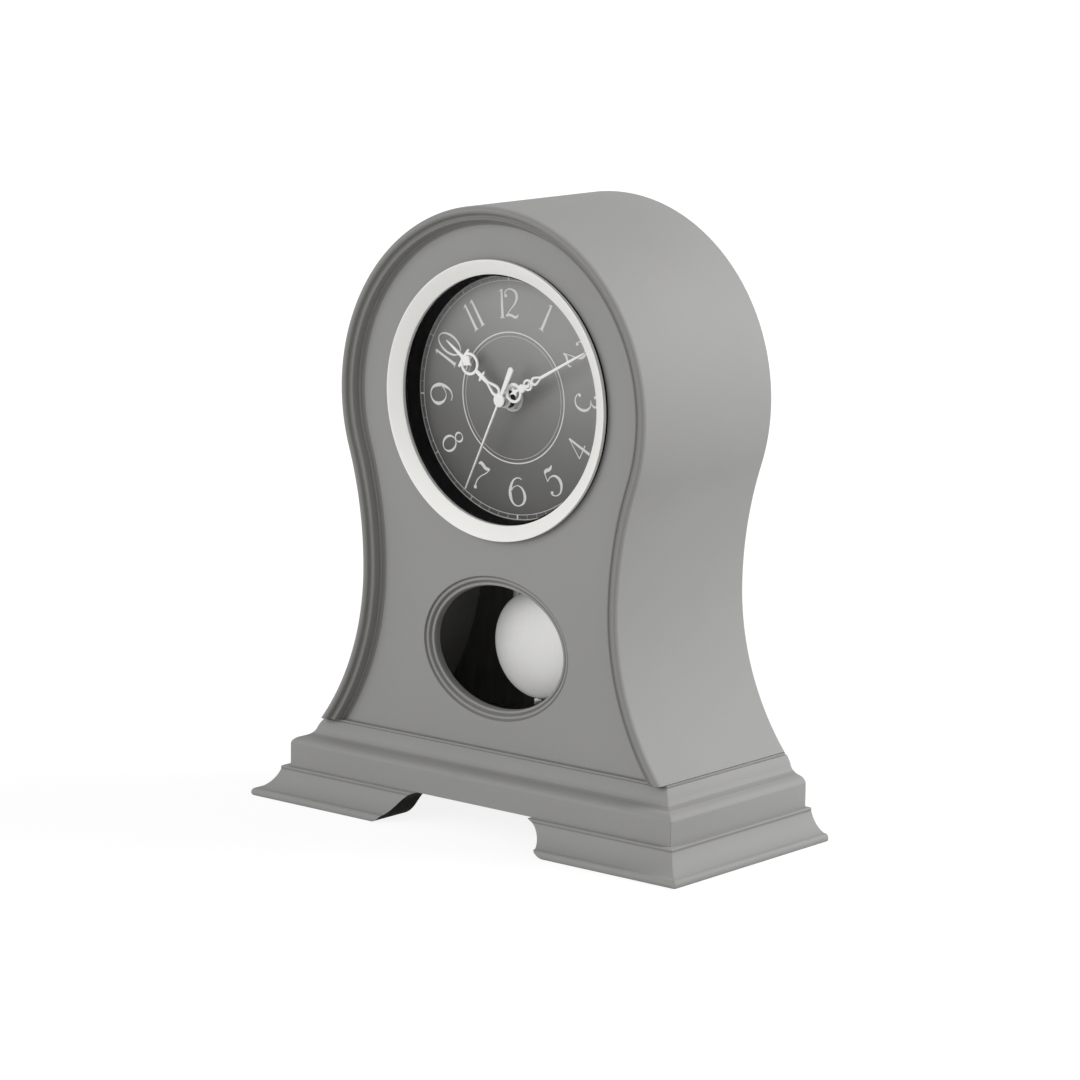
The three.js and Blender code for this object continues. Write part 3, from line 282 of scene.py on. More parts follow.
def region(parts):
    """Corners and triangles of the union of parts, each an outline with its own holes."""
    points, loops, roles = [], [], []
    for number, (outline, holes) in enumerate(parts):
        for role, line in [("solid", outline)] + [("hole", hole) for hole in holes]:
            loops.append(list(range(len(points), len(points) + len(line))))
            points += [Vector(point) / MM for point in anticlockwise(line)]
            roles.append((number, role))
    corners, _, triangles, _, _, sources = delaunay_2d_cdt(points, [], loops, 1, 1e-4)
    kept = []
    for triangle, source in zip(triangles, sources):
        inside = {roles[s] for s in source}
        if any(role == "solid" and (number, "hole") not in inside for number, role in inside):
            kept.append(triangle)
    return [corner * MM for corner in corners], kept


def plate(parts, face, seat, edge=0, place=None):
    """Plate in the X-Z plane with its eased edge on the face side. place moves a point in the plane."""
    corners, triangles = region(parts)
    sides = {(t[i], t[(i + 1) % 3]): None for t in triangles for i in range(3)}
    border = [(a, b) for a, b in sides if (b, a) not in sides]
    inward = {}
    for a, b in border:
        along = (corners[b] - corners[a]).normalized()
        for corner in (a, b):
            inward.setdefault(corner, []).append(Vector((-along.y, along.x)))
    used = sorted({corner for t in triangles for corner in t})
    spot = {corner: i for i, corner in enumerate(used)}
    rim = {corner: len(used) + i for i, corner in enumerate(inward)}
    rear = {corner: len(used) + len(rim) + i for i, corner in enumerate(used)}
    place = place or (lambda x, z: (x, z))

    def at(point, y):
        x, z = place(point.x, point.y)
        return (x, y, z)

    vertices = []
    for corner in used:
        point = corners[corner].copy()
        if corner in inward:
            mean = sum(inward[corner], Vector((0, 0)))
            if mean.length > 0.1:
                way = mean.normalized()
                point += way * edge / max(way.dot(inward[corner][0]), 0.5)
        vertices.append(at(point, face))
    ledge = face + math.copysign(edge, seat - face)
    vertices += [at(corners[corner], ledge) for corner in inward]
    vertices += [at(corners[corner], seat) for corner in used]
    faces = [tuple(spot[c] for c in t) for t in triangles]
    faces += [tuple(rear[c] for c in reversed(t)) for t in triangles]
    for a, b in border:
        faces.append((spot[b], spot[a], rim[a], rim[b]))
        faces.append((rim[b], rim[a], rear[a], rear[b]))
    return vertices, faces


# Materials

def new_material(name):
    material = bpy.data.materials.new(name)
    material.use_nodes = True
    tree = material.node_tree
    return material, tree, tree.nodes["Principled BSDF"]


def put(tree, node, inputs):
    """Sets inputs of a node, each to a value or to another node's socket."""
    for key, value in inputs.items():
        if isinstance(value, bpy.types.NodeSocket):
            tree.links.new(value, node.inputs[key])
        else:
            node.inputs[key].default_value = value


def add(tree, kind, inputs=None, **settings):
    """New node with its settings and inputs."""
    made = tree.nodes.new(kind)
    for key, value in settings.items():
        setattr(made, key, value)
    put(tree, made, inputs or {})
    return made


def maths(tree, operation, *values, kind="ShaderNodeMath"):
    return add(tree, kind, dict(enumerate(values)), operation=operation).outputs[0]


def place_of(tree, stretch=(1, 1, 1), offset=(0, 0, 0)):
    """The point in the frame, in metres, moved by the offset and scaled on each axis."""
    spot = add(tree, "ShaderNodeTexCoord").outputs["Object"]
    moved = maths(tree, "ADD", spot, offset, kind="ShaderNodeVectorMath")
    return maths(tree, "MULTIPLY", moved, stretch, kind="ShaderNodeVectorMath")


def noise(tree, scale, detail=3, stretch=(1, 1, 1)):
    """Cloudy pattern from 0 to 1 whose spots are about 1/scale metres wide."""
    inputs = {"Vector": place_of(tree, stretch), "Scale": scale, "Detail": detail}
    return add(tree, "ShaderNodeTexNoise", inputs).outputs["Fac"]


def tones(tree, factor, stops):
    """Colour from a factor by (place, colour) stops."""
    ramp = add(tree, "ShaderNodeValToRGB", {"Fac": factor})
    points = ramp.color_ramp.elements
    while len(points) < len(stops):
        points.new(0.5)
    for point, (spot, colour) in zip(points, stops):
        point.position = spot
        point.color = (*colour, 1)
    return ramp.outputs["Color"]


def span(tree, factor, low, high, start=0.25, end=0.75):
    """A factor's range from start to end, mapped onto the range from low to high."""
    inputs = {"Value": factor, "From Min": start, "From Max": end, "To Min": low, "To Max": high}
    return add(tree, "ShaderNodeMapRange", inputs).outputs["Result"]


def scaled(colour, share):
    return tuple(channel * share for channel in colour)


def dress(tree, shader, tone, stops, fine, rough, bumps):
    """Colour from a tone by its stops. A fine pattern sets the roughness and bumps of a depth."""
    strength, depth = bumps
    inputs = {"Height": fine, "Strength": strength, "Distance": depth}
    bump = add(tree, "ShaderNodeBump", inputs).outputs["Normal"]
    put(tree, shader, {"Base Color": tones(tree, tone, stops),
                       "Roughness": span(tree, fine, *rough), "Normal": bump})


def coated(name, colour, spread, roughness, cloud, grain, depth, gloss):
    """Paint, lacquer or moulded plastic: a slightly uneven tone over a fine grain."""
    material, tree, shader = new_material(name)
    put(tree, shader, {"Specular IOR Level": gloss})
    broad = noise(tree, cloud)
    fine = noise(tree, grain, 2)
    halved = maths(tree, "MULTIPLY", maths(tree, "ADD", broad, fine), 0.5)
    stops = [(0.3, scaled(colour, 1 - spread)), (0.7, scaled(colour, 1 + spread))]
    rough = (roughness - 0.06, roughness + 0.06)
    dress(tree, shader, halved, stops, fine, rough, (0.35, depth * MM))
    return material


def metal(name, colour, roughness, stretch, spread=0.08, share=1):
    """Brushed or turned metal, or metal paint for a smaller share, with scratches along one way."""
    material, tree, shader = new_material(name)
    put(tree, shader, {"Metallic": share})
    brushed = noise(tree, 700, 3, stretch)
    stops = [(0.25, scaled(colour, 1 - spread)), (0.75, scaled(colour, 1 + spread))]
    rough = (roughness - 0.08, roughness + 0.08)
    dress(tree, shader, brushed, stops, brushed, rough, (0.2, 0.02 * MM))
    return material


def stained_board():
    """Dark stained fibre board with short fibres."""
    material, tree, shader = new_material("stained_board")
    fibre = noise(tree, 260, 5, (1, 1, 0.12))
    stops = [(0.25, (0.14, 0.136, 0.129)), (0.55, (0.19, 0.185, 0.176)),
             (0.8, (0.24, 0.234, 0.223))]
    dress(tree, shader, fibre, stops, fibre, (0.7, 0.9), (0.4, 0.12 * MM))
    return material


# Painted light on the dial rises along this way, over twice this reach
DIAL_PAINTED_LIGHT = (0.32, 0, 0.95)
DIAL_REACH = 64 * MM


def dial_face():
    """Grey dial with painted light and shade: its tone rises from the lower left to the upper right,
    with a fine grain.
    """
    material, tree, shader = new_material("dial_face")
    share = [value / (2 * DIAL_REACH) for value in DIAL_PAINTED_LIGHT]
    offset = (0, 0, -DIAL_CENTRE.z)
    lean = add(tree, "ShaderNodeVectorMath", {0: place_of(tree, offset=offset), 1: share},
               operation="DOT_PRODUCT").outputs["Value"]
    speck = noise(tree, 900, 2)
    rise = span(tree, lean, 0, 1, -0.5, 0.5)
    flecked = maths(tree, "MULTIPLY_ADD", speck, 0.08, rise)
    # Painted shade at the lower left, painted light at the upper right
    stops = [
        (0.14, (0.078, 0.077, 0.073)), (0.34, (0.116, 0.115, 0.11)), (0.54, (0.185, 0.184, 0.178)),
        (0.68, (0.25, 0.249, 0.243)), (0.84, (0.325, 0.323, 0.316)), (0.97, (0.35, 0.348, 0.34))]
    dress(tree, shader, flecked, stops, speck, (0.45, 0.6), (0.2, 0.02 * MM))
    return material


def clear_crystal():
    """Thin clear disc: almost no body colour, a clean gloss and the faintest smears."""
    material, tree, shader = new_material("clear_crystal")
    smear = noise(tree, 40, 4, (1, 1, 0.4))
    put(tree, shader, {"Base Color": (0.02, 0.02, 0.02, 1), "IOR": 1.46,
                       "Roughness": span(tree, smear, 0.02, 0.05),
                       "Alpha": span(tree, smear, 0.012, 0.025)})
    return material


def wound_copper():
    """Fine lacquered wire, turn beside turn."""
    material, tree, shader = new_material("wound_copper")
    put(tree, shader, {"Metallic": 0.8})
    inputs = {"Vector": place_of(tree), "Scale": 1500, "Distortion": 0.4}
    turns = add(tree, "ShaderNodeTexWave", inputs, bands_direction="Y").outputs["Fac"]
    stops = [(0.2, (0.16, 0.05, 0.022)), (0.8, (0.42, 0.15, 0.065))]
    dress(tree, shader, turns, stops, turns, (0.3, 0.45), (0.5, 0.08 * MM))
    return material


# Coats: colour, spread of tone, roughness, clouds and grain per metre, depth in millimetres, gloss
COATS = {
    "paint_grey": ((0.315, 0.313, 0.306), 0.035, 0.66, 16, 1100, 0.06, 0.3),
    # paint_half_shaded and paint_shaded are the grey paint darkened as painted shade
    "paint_half_shaded": ((0.275, 0.272, 0.263), 0.04, 0.68, 16, 1100, 0.06, 0.25),
    "paint_shaded": ((0.235, 0.231, 0.221), 0.05, 0.7, 16, 1100, 0.06, 0.2),
    "raw_lining": ((0.55, 0.545, 0.53), 0.06, 0.8, 16, 900, 0.1, 0.2),
    # painted_deep_shade is near-black painted shade for hidden inner faces
    "painted_deep_shade": ((0.018, 0.0175, 0.0165), 0.2, 0.85, 16, 900, 0.08, 0.1),
    "bezel_white": ((0.93, 0.92, 0.89), 0.012, 0.34, 16, 1600, 0.02, 0.5),
    "hand_white": ((0.97, 0.965, 0.945), 0.012, 0.42, 16, 2500, 0.01, 0.5),
    "print_white": ((0.74, 0.737, 0.722), 0.03, 0.5, 16, 2500, 0.01, 0.5),
    "matt_black": ((0.005, 0.005, 0.005), 0.2, 0.9, 16, 1800, 0.03, 0.08),
    "black_plastic": ((0.012, 0.012, 0.0125), 0.15, 0.5, 16, 2200, 0.05, 0.5),
    "white_plastic": ((0.66, 0.65, 0.62), 0.02, 0.45, 16, 2200, 0.03, 0.5),
    "satin_zinc": ((0.6, 0.597, 0.585), 0.06, 0.4, 16, 1800, 0.02, 0.5),
    "green_board": ((0.02, 0.09, 0.045), 0.12, 0.45, 300, 3000, 0.06, 0.5),
    "battery": ((0.02, 0.021, 0.023), 0.1, 0.3, 60, 2500, 0.01, 0.5),
}
FINISHES = {name: coated(name, *coat) for name, coat in COATS.items()}
FINISHES.update({
    "back_board": stained_board(),
    "crystal": clear_crystal(),
    "dial_grey": dial_face(),
    "copper": wound_copper(),
    "brass": metal("brass", (0.62, 0.44, 0.17), 0.32, (1, 0.08, 1)),
    "steel": metal("steel", (0.56, 0.565, 0.57), 0.36, (1, 1, 0.06)),
    "bob_silver": metal("bob_silver", (0.86, 0.856, 0.84), 0.5, (1, 1, 0.5), 0.02, 0.1),
})
PAINT = FINISHES["paint_grey"]
# Grey paint in painted half shade and painted shade, for hollows and faces turned from the light
HALF_SHADE = FINISHES["paint_half_shaded"]
PAINTED_SHADE = FINISHES["paint_shaded"]
LINING = FINISHES["raw_lining"]
# Near-black painted deep shade
DEEP_SHADE_PAINT = FINISHES["painted_deep_shade"]
MATT_BLACK = FINISHES["matt_black"]
ZINC = FINISHES["satin_zinc"]
ROD_STEEL = metal("rod_steel", (0.32, 0.32, 0.32), 0.55, (1, 1, 0.06))

for part in frame["record"]["subparts"]:
    mesh = frame["nodes"][part["node"]].data
    mesh.materials.clear()
    mesh.materials.append(FINISHES[part["material_slot"]])
for name in ("pendulum_rod_left", "pendulum_rod_right"):
    frame["nodes"][name].data.materials[0] = ROD_STEEL


# Pieces

SHARP_ANGLE = 32


def new_object(name, data):
    made = bpy.data.objects.new(name, data)
    bpy.context.scene.collection.objects.link(made)
    return made


def piece(name, shells, body, replaces=()):
    """Object from (shell, material) pairs, welded into one mesh that rides on a body."""
    vertices, faces, numbers, materials = [], [], [], []
    for (points, sides), material in shells:
        if material not in materials:
            materials.append(material)
        numbers += [materials.index(material)] * len(sides)
        faces += [tuple(len(vertices) + corner for corner in side) for side in sides]
        vertices += points
    mesh = bpy.data.meshes.new(name)
    mesh.from_pydata(vertices, [], faces)
    mesh.polygons.foreach_set("material_index", numbers)
    work = bmesh.new()
    work.from_mesh(mesh)
    bmesh.ops.remove_doubles(work, verts=work.verts, dist=WELD)
    bmesh.ops.dissolve_degenerate(work, dist=WELD, edges=work.edges)
    bmesh.ops.recalc_face_normals(work, faces=work.faces)
    work.to_mesh(mesh)
    work.free()
    for material in materials:
        mesh.materials.append(material)
    mesh.shade_smooth()
    mesh.set_sharp_from_angle(angle=math.radians(SHARP_ANGLE))
    made = new_object(name, mesh)
    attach(made, body)
    if replaces:
        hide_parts(*replaces)


def plain(name, shells, body, slot, replaces=()):
    """Piece of one finish, the one that its slot names."""
    piece(name, [(shell, FINISHES[slot]) for shell in shells], body, replaces)


def case_outline(inset):
    """The case's edge in from the outside, from the lower right over the arch to the lower left."""
    flare = FLARE_RADIUS + inset
    foot = math.asin((WAIST_HEIGHT - CASE_BOTTOM) / flare)
    side = arc(WAIST_HALF + FLARE_RADIUS, WAIST_HEIGHT, flare, math.pi + foot, math.pi, 24)
    side += arc(WAIST_HALF + NECK_RADIUS, WAIST_HEIGHT, NECK_RADIUS + inset,
                math.pi, math.pi - NECK_ANGLE, 20)[1:]
    arch = arc(0, ARCH_HEIGHT, ARCH_RADIUS - inset, -NECK_ANGLE, math.pi + NECK_ANGLE, 120)[1:-1]
    return side + arch + [(-x, z) for x, z in reversed(side)]


def rim_sections():
    """(profile, finish) sections from the back's outer edge to the panel, of (inset, depth) pairs."""
    outer = bow((BACK_ROUND, BACK), (0, BACK), (0, BACK - BACK_ROUND), 4)
    turn = [(RIM_ROUND - x, RIM_FRONT + RIM_ROUND - y) for x, y in
            arc(0, 0, RIM_ROUND, 0, math.pi / 2, 12)]
    # The rounding's inner half takes painted half shade, the curves and cove painted shade
    sections = [(outer + turn[:7], PAINT), (turn[6:], HALF_SHADE)]

    def onto(inset, depth):
        return (inset * MM, RIM_FRONT + depth * MM)

    for pull, end in RIM_CURVES:
        sections.append((bow(sections[-1][0][-1], onto(*pull), onto(*end), 8), PAINTED_SHADE))
    cove = bow(sections[-1][0][-1], onto(*RIM_COVE), (RIM_REACH, PANEL_FRONT), 8)
    return [*sections, (cove, PAINTED_SHADE)]


def case_shell():
    inside = [(RIM_REACH, PANEL_FRONT), (CASE_WALL, PANEL_FRONT), (CASE_WALL, BACK)]
    edge = [(CASE_WALL, BACK), (BACK_ROUND, BACK)]
    sections = [*rim_sections(), (inside, LINING), (edge, PAINT)]
    shells = []
    feet = ([], [])
    for profile, finish in sections:
        rings = [[(x, y, z) for x, z in case_outline(inset)] for inset, y in profile]
        shells.append((skin(rings, closed=False, caps=False), finish))
        for foot, end in zip(feet, (0, -1)):
            foot += [ring[end] for ring in rings[:-1]]
    shells += [(level_face(foot), PAINT) for foot in feet]
    piece("clock_case", shells, "frame", ["case_shell"])


def window_oval(grow):
    return oval(0, WINDOW_HEIGHT, WINDOW_HALF_WIDTH + grow, WINDOW_HALF_HEIGHT + grow, 128)


def front_panel():
    edge = WINDOW_STEPS * STEP_WIDTH
    hole = oval(0, DIAL_CENTRE.z, PANEL_HOLE, PANEL_HOLE, 128)
    sheet = plate([(case_outline(PANEL_INSET), [hole, window_oval(edge)])], PANEL_FRONT, PANEL_BACK)
    plain("panel_front", [sheet], "frame", "paint_grey", ["front_panel"])
    profile = [(share * edge, PANEL_FRONT + depth * STEP_DEPTH) for share, depth in
               spline(WINDOW_SECTION, WINDOW_FINE)]

    def band(part):
        return skin([[(x, y, z) for x, z in window_oval(grow)] for grow, y in part], caps=False)

    shells = []
    for number in range(len(WINDOW_SECTION) - 1):
        part = profile[number * WINDOW_FINE:(number + 1) * WINDOW_FINE + 1]
        shells.append((band(part), PAINTED_SHADE if number in WINDOW_SHADED else PAINT))
    # The window's inner wall takes painted shade too
    rear = [profile[-1], (0, PANEL_BACK), (edge, PANEL_BACK), profile[0]]
    shells.append((band(rear), PAINTED_SHADE))
    piece("window_moulding", shells, "frame")


# Base

def footprint(setback, rear_gap=0):
    """Plan of the base, set back from the front and both sides, with barely eased corners."""
    side = BASE_HALF - setback - CORNER
    front, rear = LIP_FRONT + setback + CORNER, BACK - rear_gap - CORNER
    points = []
    for quarter, (x, y) in enumerate([(side, rear), (-side, rear), (-side, front), (side, front)]):
        start = quarter * math.pi / 2
        points += arc(x, y, CORNER, start, start + math.pi / 2, 4)
    return points


def level_face(ring):
    return (ring, [tuple(range(len(ring)))])


def moulded(sections):
    """Closed shells of a moulding round the base from (profile, finish) sections, bottom first."""
    shells = []
    for profile, finish in sections:
        rings = [[(x, y, z) for x, y in footprint(setback)] for setback, z in profile]
        shells.append((skin(rings, caps=False), finish))
    for end in (0, -1):
        profile, finish = sections[end]
        setback, z = profile[end]
        shells.append((level_face([(x, y, z) for x, y in footprint(setback)]), finish))
    return shells


def base_cap():
    """Moulding on the plinth: a nose, a valley in painted half shade, a rise and a small step under the
    case.
    """
    bottom, top = PLINTH_TOP, CASE_BOTTOM - CAP_STEP
    middle, gap = (bottom + top) / 2, CASE_BOTTOM - CAP_GAP
    nose = (PLINTH_SETBACK + 4.2 * MM, middle - 2.7 * MM)
    hollow = (CAP_SETBACK - 2.5 * MM, middle + 1.5 * MM)
    face = bow((PLINTH_SETBACK, bottom), (PLINTH_SETBACK + 0.6 * MM, nose[1] - 0.8 * MM), nose, 10)
    valley = bow(nose, (hollow[0] - 0.9 * MM, nose[1] + 1.2 * MM), hollow, 10)
    rise = bow(hollow, (hollow[0] + 0.9 * MM, top - 2 * MM), (CAP_SETBACK, top), 8)
    ledge = [(CAP_SETBACK, top), (STEP_SETBACK, top)]
    step = [ledge[-1], (STEP_SETBACK, gap - CAP_EASE), (STEP_SETBACK + CAP_EASE, gap)]
    inner = STEP_SETBACK + CAP_RECESS
    recess = [step[-1], (inner, gap), (inner, CASE_BOTTOM)]
    # Painted shade on the ledge and in the recess under the case
    sections = [(face + valley[1:2], PAINT), (valley[1:6], HALF_SHADE),
                (valley[5:] + rise[1:], PAINT), (ledge, PAINTED_SHADE), (step, PAINT), (recess, PAINTED_SHADE)]
    piece("base_moulding", moulded(sections), "frame", ["base_cap"])


def plinth():
    rings = []
    for setback, gap, z in [(PLINTH_SETBACK, 0, PLINTH_BOTTOM), (PLINTH_SETBACK, 0, PLINTH_TOP),
                            (PLINTH_SETBACK + WALL, WALL, PLINTH_TOP),
                            (PLINTH_SETBACK + WALL, WALL, PLINTH_BOTTOM)]:
        rings.append([(x, y, z) for x, y in footprint(setback, gap)])
    plain("plinth", [skin(rings, loop=True)], "frame", "paint_grey", ["plinth_frame"])


def bracket_end(z):
    """Where the curved end of a foot's front return lies at a height."""
    points = [(BRACKET_TOE, 0), (BRACKET_TOE - BRACKET_BOW, BRACKET_LIFT),
              (BRACKET_TOP + BRACKET_BOW, PLINTH_BOTTOM - BRACKET_LIFT),
              (BRACKET_TOP, PLINTH_BOTTOM)]

    def along(t, axis):
        weights = [(1 - t) ** 3, 3 * t * (1 - t) ** 2, 3 * t * t * (1 - t), t**3]
        return sum(weight * point[axis] for weight, point in zip(weights, points))

    low, high = 0, 1
    for _ in range(40):
        t = (low + high) / 2
        if along(t, 1) < z:
            low = t
        else:
            high = t
    return along(low, 0)


def foot_sections():
    """(profile, finish) sections of the foot's moulding, top first."""
    quirk = PLINTH_BOTTOM - FOOT_FILLET / 2
    ledge = bow((FOOT_TOP_SETBACK + FOOT_EASE, PLINTH_BOTTOM), (FOOT_TOP_SETBACK, PLINTH_BOTTOM),
                (FOOT_TOP_SETBACK, PLINTH_BOTTOM - FOOT_EASE), 5)
    fillet = [ledge[-1], (FOOT_TOP_SETBACK, quirk)]
    lip_top = 2 * LIP_RADIUS
    cove = bow(fillet[-1], (FOOT_TOP_SETBACK - 2.4 * MM, lip_top + 2.6 * MM),
               (LIP_RADIUS + LIP_SET, lip_top), 14)
    lip = arc(LIP_RADIUS, LIP_RADIUS, LIP_RADIUS, math.pi / 2, math.pi, 8)
    lip += arc(SOLE_ROUND, SOLE_ROUND, SOLE_ROUND, math.pi, 1.5 * math.pi, 5)
    # The fillet takes painted shade
    return [(ledge, PAINT), (fillet, PAINTED_SHADE), (cove + lip, PAINT)]


def foot(side, name, node):
    """Bracket foot: a moulded side with a front return that ends in a curve; inner faces in painted
    deep shade.
    """
    inner = BASE_HALF - PLINTH_SETBACK - WALL
    wall_rear = LIP_FRONT + PLINTH_SETBACK + WALL

    def shown(setback, z):
        half, front = BASE_HALF - setback, LIP_FRONT + setback
        corner = arc(half - CORNER, front + CORNER, CORNER, 0, -math.pi / 2, 4)
        plan = [(inner, BACK), (half, BACK), *corner, (bracket_end(z), front)]
        return [(side * x, y, z) for x, y in plan]

    def hidden(setback, z):
        end = bracket_end(z)
        plan = [(end, LIP_FRONT + setback), (end, wall_rear), (inner, wall_rear), (inner, BACK)]
        return [(side * x, y, z) for x, y in plan]

    sections = foot_sections()
    shells = []
    # Hidden inner faces and the sole take the near-black painted deep shade
    for profile, finish in sections:
        for plan, side_finish in ((shown, finish), (hidden, DEEP_SHADE_PAINT)):
            rings = [plan(*level) for level in profile]
            shells.append((skin(rings, closed=False, caps=False), side_finish))
    for end, finish in ((0, PAINT), (-1, DEEP_SHADE_PAINT)):
        level = sections[end][0][end]
        shells.append((level_face(shown(*level) + hidden(*level)[1:-1]), finish))
    piece(name, shells, "frame", [node])


# Dial group

def bezel():
    """White dished ring over a black band at its outer edge and a spigot in the panel."""
    crest_front = BEZEL_LOW.y
    crest_radius = BEZEL_RADIUS - BEZEL_ROUND
    middle = ((BEZEL_OPENING + crest_radius) / 2, (PANEL_FRONT + crest_front) / 2 - BEZEL_BOW)
    band_front = crest_front + BEZEL_WALL
    bore_end = PANEL_FRONT + BORE_WHITE
    face = [(BEZEL_OPENING, bore_end)]
    face += bow((BEZEL_OPENING, PANEL_FRONT), middle, (crest_radius, crest_front), 10)
    face += bow((crest_radius, crest_front), (BEZEL_RADIUS, crest_front),
                (BEZEL_RADIUS, crest_front + BEZEL_ROUND), 6)[1:]
    face += [(BEZEL_RADIUS, band_front), (BEZEL_BAND, band_front)]
    body = [(BEZEL_BAND, band_front), (BEZEL_BAND, PANEL_FRONT), (SPIGOT_RADIUS, PANEL_FRONT),
            (SPIGOT_RADIUS, BEZEL_HIGH.y), (BEZEL_OPENING, BEZEL_HIGH.y), (BEZEL_OPENING, bore_end)]
    shells = [(lathe(face, steps=160, caps=False), FINISHES["bezel_white"]),
              (lathe(body, steps=160, caps=False), MATT_BLACK)]
    piece("bezel_ring", shells, "frame", ["bezel"])


def crystal():
    profile = eased(0, CRYSTAL_HIGH.x, CRYSTAL_LOW.y, CRYSTAL_HIGH.y, CRYSTAL_EASE)
    plain("crystal_disc", [lathe(profile, steps=160)], "frame", "crystal", ["crystal"])


def surround():
    """Black tube in front of the dial, with a flange behind the panel."""
    rear = PANEL_BACK + FLANGE_THICKNESS
    front, shoulder = PANEL_FRONT + BORE_WHITE, BEZEL_HIGH.y + FIT
    profile = [(TUBE_BORE, front), (TUBE_RADIUS, front), (TUBE_RADIUS, shoulder),
               (SPIGOT_RADIUS, shoulder), (SPIGOT_RADIUS, PANEL_BACK), (FLANGE_RADIUS, PANEL_BACK),
               (FLANGE_RADIUS, rear), (SPIGOT_RADIUS, rear), (SPIGOT_RADIUS, DIAL_FRONT),
               (TUBE_BORE, DIAL_FRONT)]
    shell = lathe(profile, steps=160, loop=True)
    piece("dial_tube", [(shell, MATT_BLACK)], "frame", ["dial_surround"])


DIAL_BORE = 4.3 * MM


def dial():
    rear, radius = DIAL_HIGH.y, DIAL_HIGH.x
    profile = [(DIAL_BORE, DIAL_FRONT), (radius, DIAL_FRONT), (radius, rear), (DIAL_BORE, rear)]
    shell = lathe(profile, steps=128, loop=True)
    plain("dial_disc", [shell], "frame", "dial_grey", ["dial_plate"])


# Hour numbers in millimetres about their middle: strokes of (x, z, width) points, dots and rings
ONE = {"strokes": [[(0, 7.2, 1.1), (0, -7.2, 1.65)], [(-1.8, 5.7, 0.3), (-0.1, 7.1, 0.6)],
                   [(-1.8, -7.3, 0.35), (1.6, -7.3, 0.35)]]}
TWO = {"strokes": [
    [(-3.9, 3.9, 0.5), (-3.5, 6.2, 0.6), (-0.6, 7.4, 0.7), (2.9, 6.1, 1.3), (3.8, 3.3, 1.5),
     (2.5, 0.2, 0.9), (-0.6, -3, 0.5), (-3.6, -6.3, 0.5)],
    [(-3.7, -6.4, 0.7), (-1.8, -5.7, 1.3), (0.4, -6.1, 1.3), (2.3, -6.9, 1.3), (3.8, -6.3, 0.9),
     (4.4, -5.2, 0.3)]],
    "dots": [(-3.4, 3.9, 0.85)]}
THREE = {"strokes": [
    [(-2.6, 5.6, 0.5), (-1.6, 7.1, 0.6), (0.6, 7.3, 0.7), (2.2, 6, 1), (2, 4.2, 0.9),
     (0.6, 3, 0.5), (-0.8, 2.7, 0.4)],
    [(-0.8, 2.7, 0.4), (1.8, 2.4, 0.7), (3.7, 0.2, 1.2), (3.9, -3.2, 1.4), (2.1, -6.5, 1),
     (-0.8, -7.3, 0.7), (-3.2, -5.8, 0.6), (-3.4, -4.4, 0.6)]],
    "dots": [(-2.2, 5.6, 0.8), (-3, -4.3, 0.85)]}
FOUR = {"strokes": [[(1.4, 7.4, 1.1), (1.4, -7.4, 1.5)], [(1.3, 7.2, 0.4), (-4, -2.9, 0.45)],
                    [(-4.1, -2.9, 0.5), (3.8, -2.9, 0.7)]]}
FIVE = {"strokes": [
    [(-1.9, 6.1, 1.4), (-0.5, 6.7, 1.8), (1, 6.2, 1.7), (2.5, 6.6, 1.3), (3.4, 7.5, 0.4)],
    [(-2, 6.4, 0.5), (-2.5, 1.5, 0.4)],
    [(-2.5, 1.5, 0.4), (-0.4, 2.6, 0.6), (2.4, 2, 1), (4, -0.6, 1.5), (3.8, -4, 1.5),
     (1.6, -6.9, 0.9), (-1.2, -7.2, 0.6), (-3.2, -5.6, 0.6), (-3.3, -4.6, 0.6)]],
    "dots": [(-2.9, -4.6, 0.85)]}
SIX = {"strokes": [
    [(2.4, 6.4, 0.4), (0.7, 7.2, 0.5), (-1.7, 6.1, 0.8), (-3.4, 2.4, 1.3), (-3.8, -1.8, 1.5),
     (-2.6, -5.7, 1), (0, -7.2, 0.6), (2.8, -5.7, 1), (3.8, -2.2, 1.4), (2.6, 1.6, 0.9),
     (0.2, 3.2, 0.4), (-2.3, 1.9, 0.4), (-3.4, -0.4, 0.3)]]}
SEVEN = {"strokes": [
    [(-3.8, 5.6, 0.6), (-2.8, 6.7, 1.8), (-1, 6.5, 1.9), (1.2, 5.9, 1.8), (3.7, 6.8, 1.2)],
    [(3.7, 6.8, 0.7), (2.4, 3.6, 0.5), (0.2, 0.6, 0.5), (-0.9, -2.6, 0.6), (-0.7, -5.6, 0.7)]],
    "dots": [(-0.4, -6.3, 1)]}
EIGHT = {"rings": [(0.2, 4.8, 2.4, 2.6, 0.9), (0, -2.6, 3.7, 4.8, 1.1)]}
NINE = {"strokes": [[(-x, -z, width) for x, z, width in SIX["strokes"][0]]]}
NOUGHT = {"rings": [(0, 0.7, 5.1, 8.1, 1.2)]}
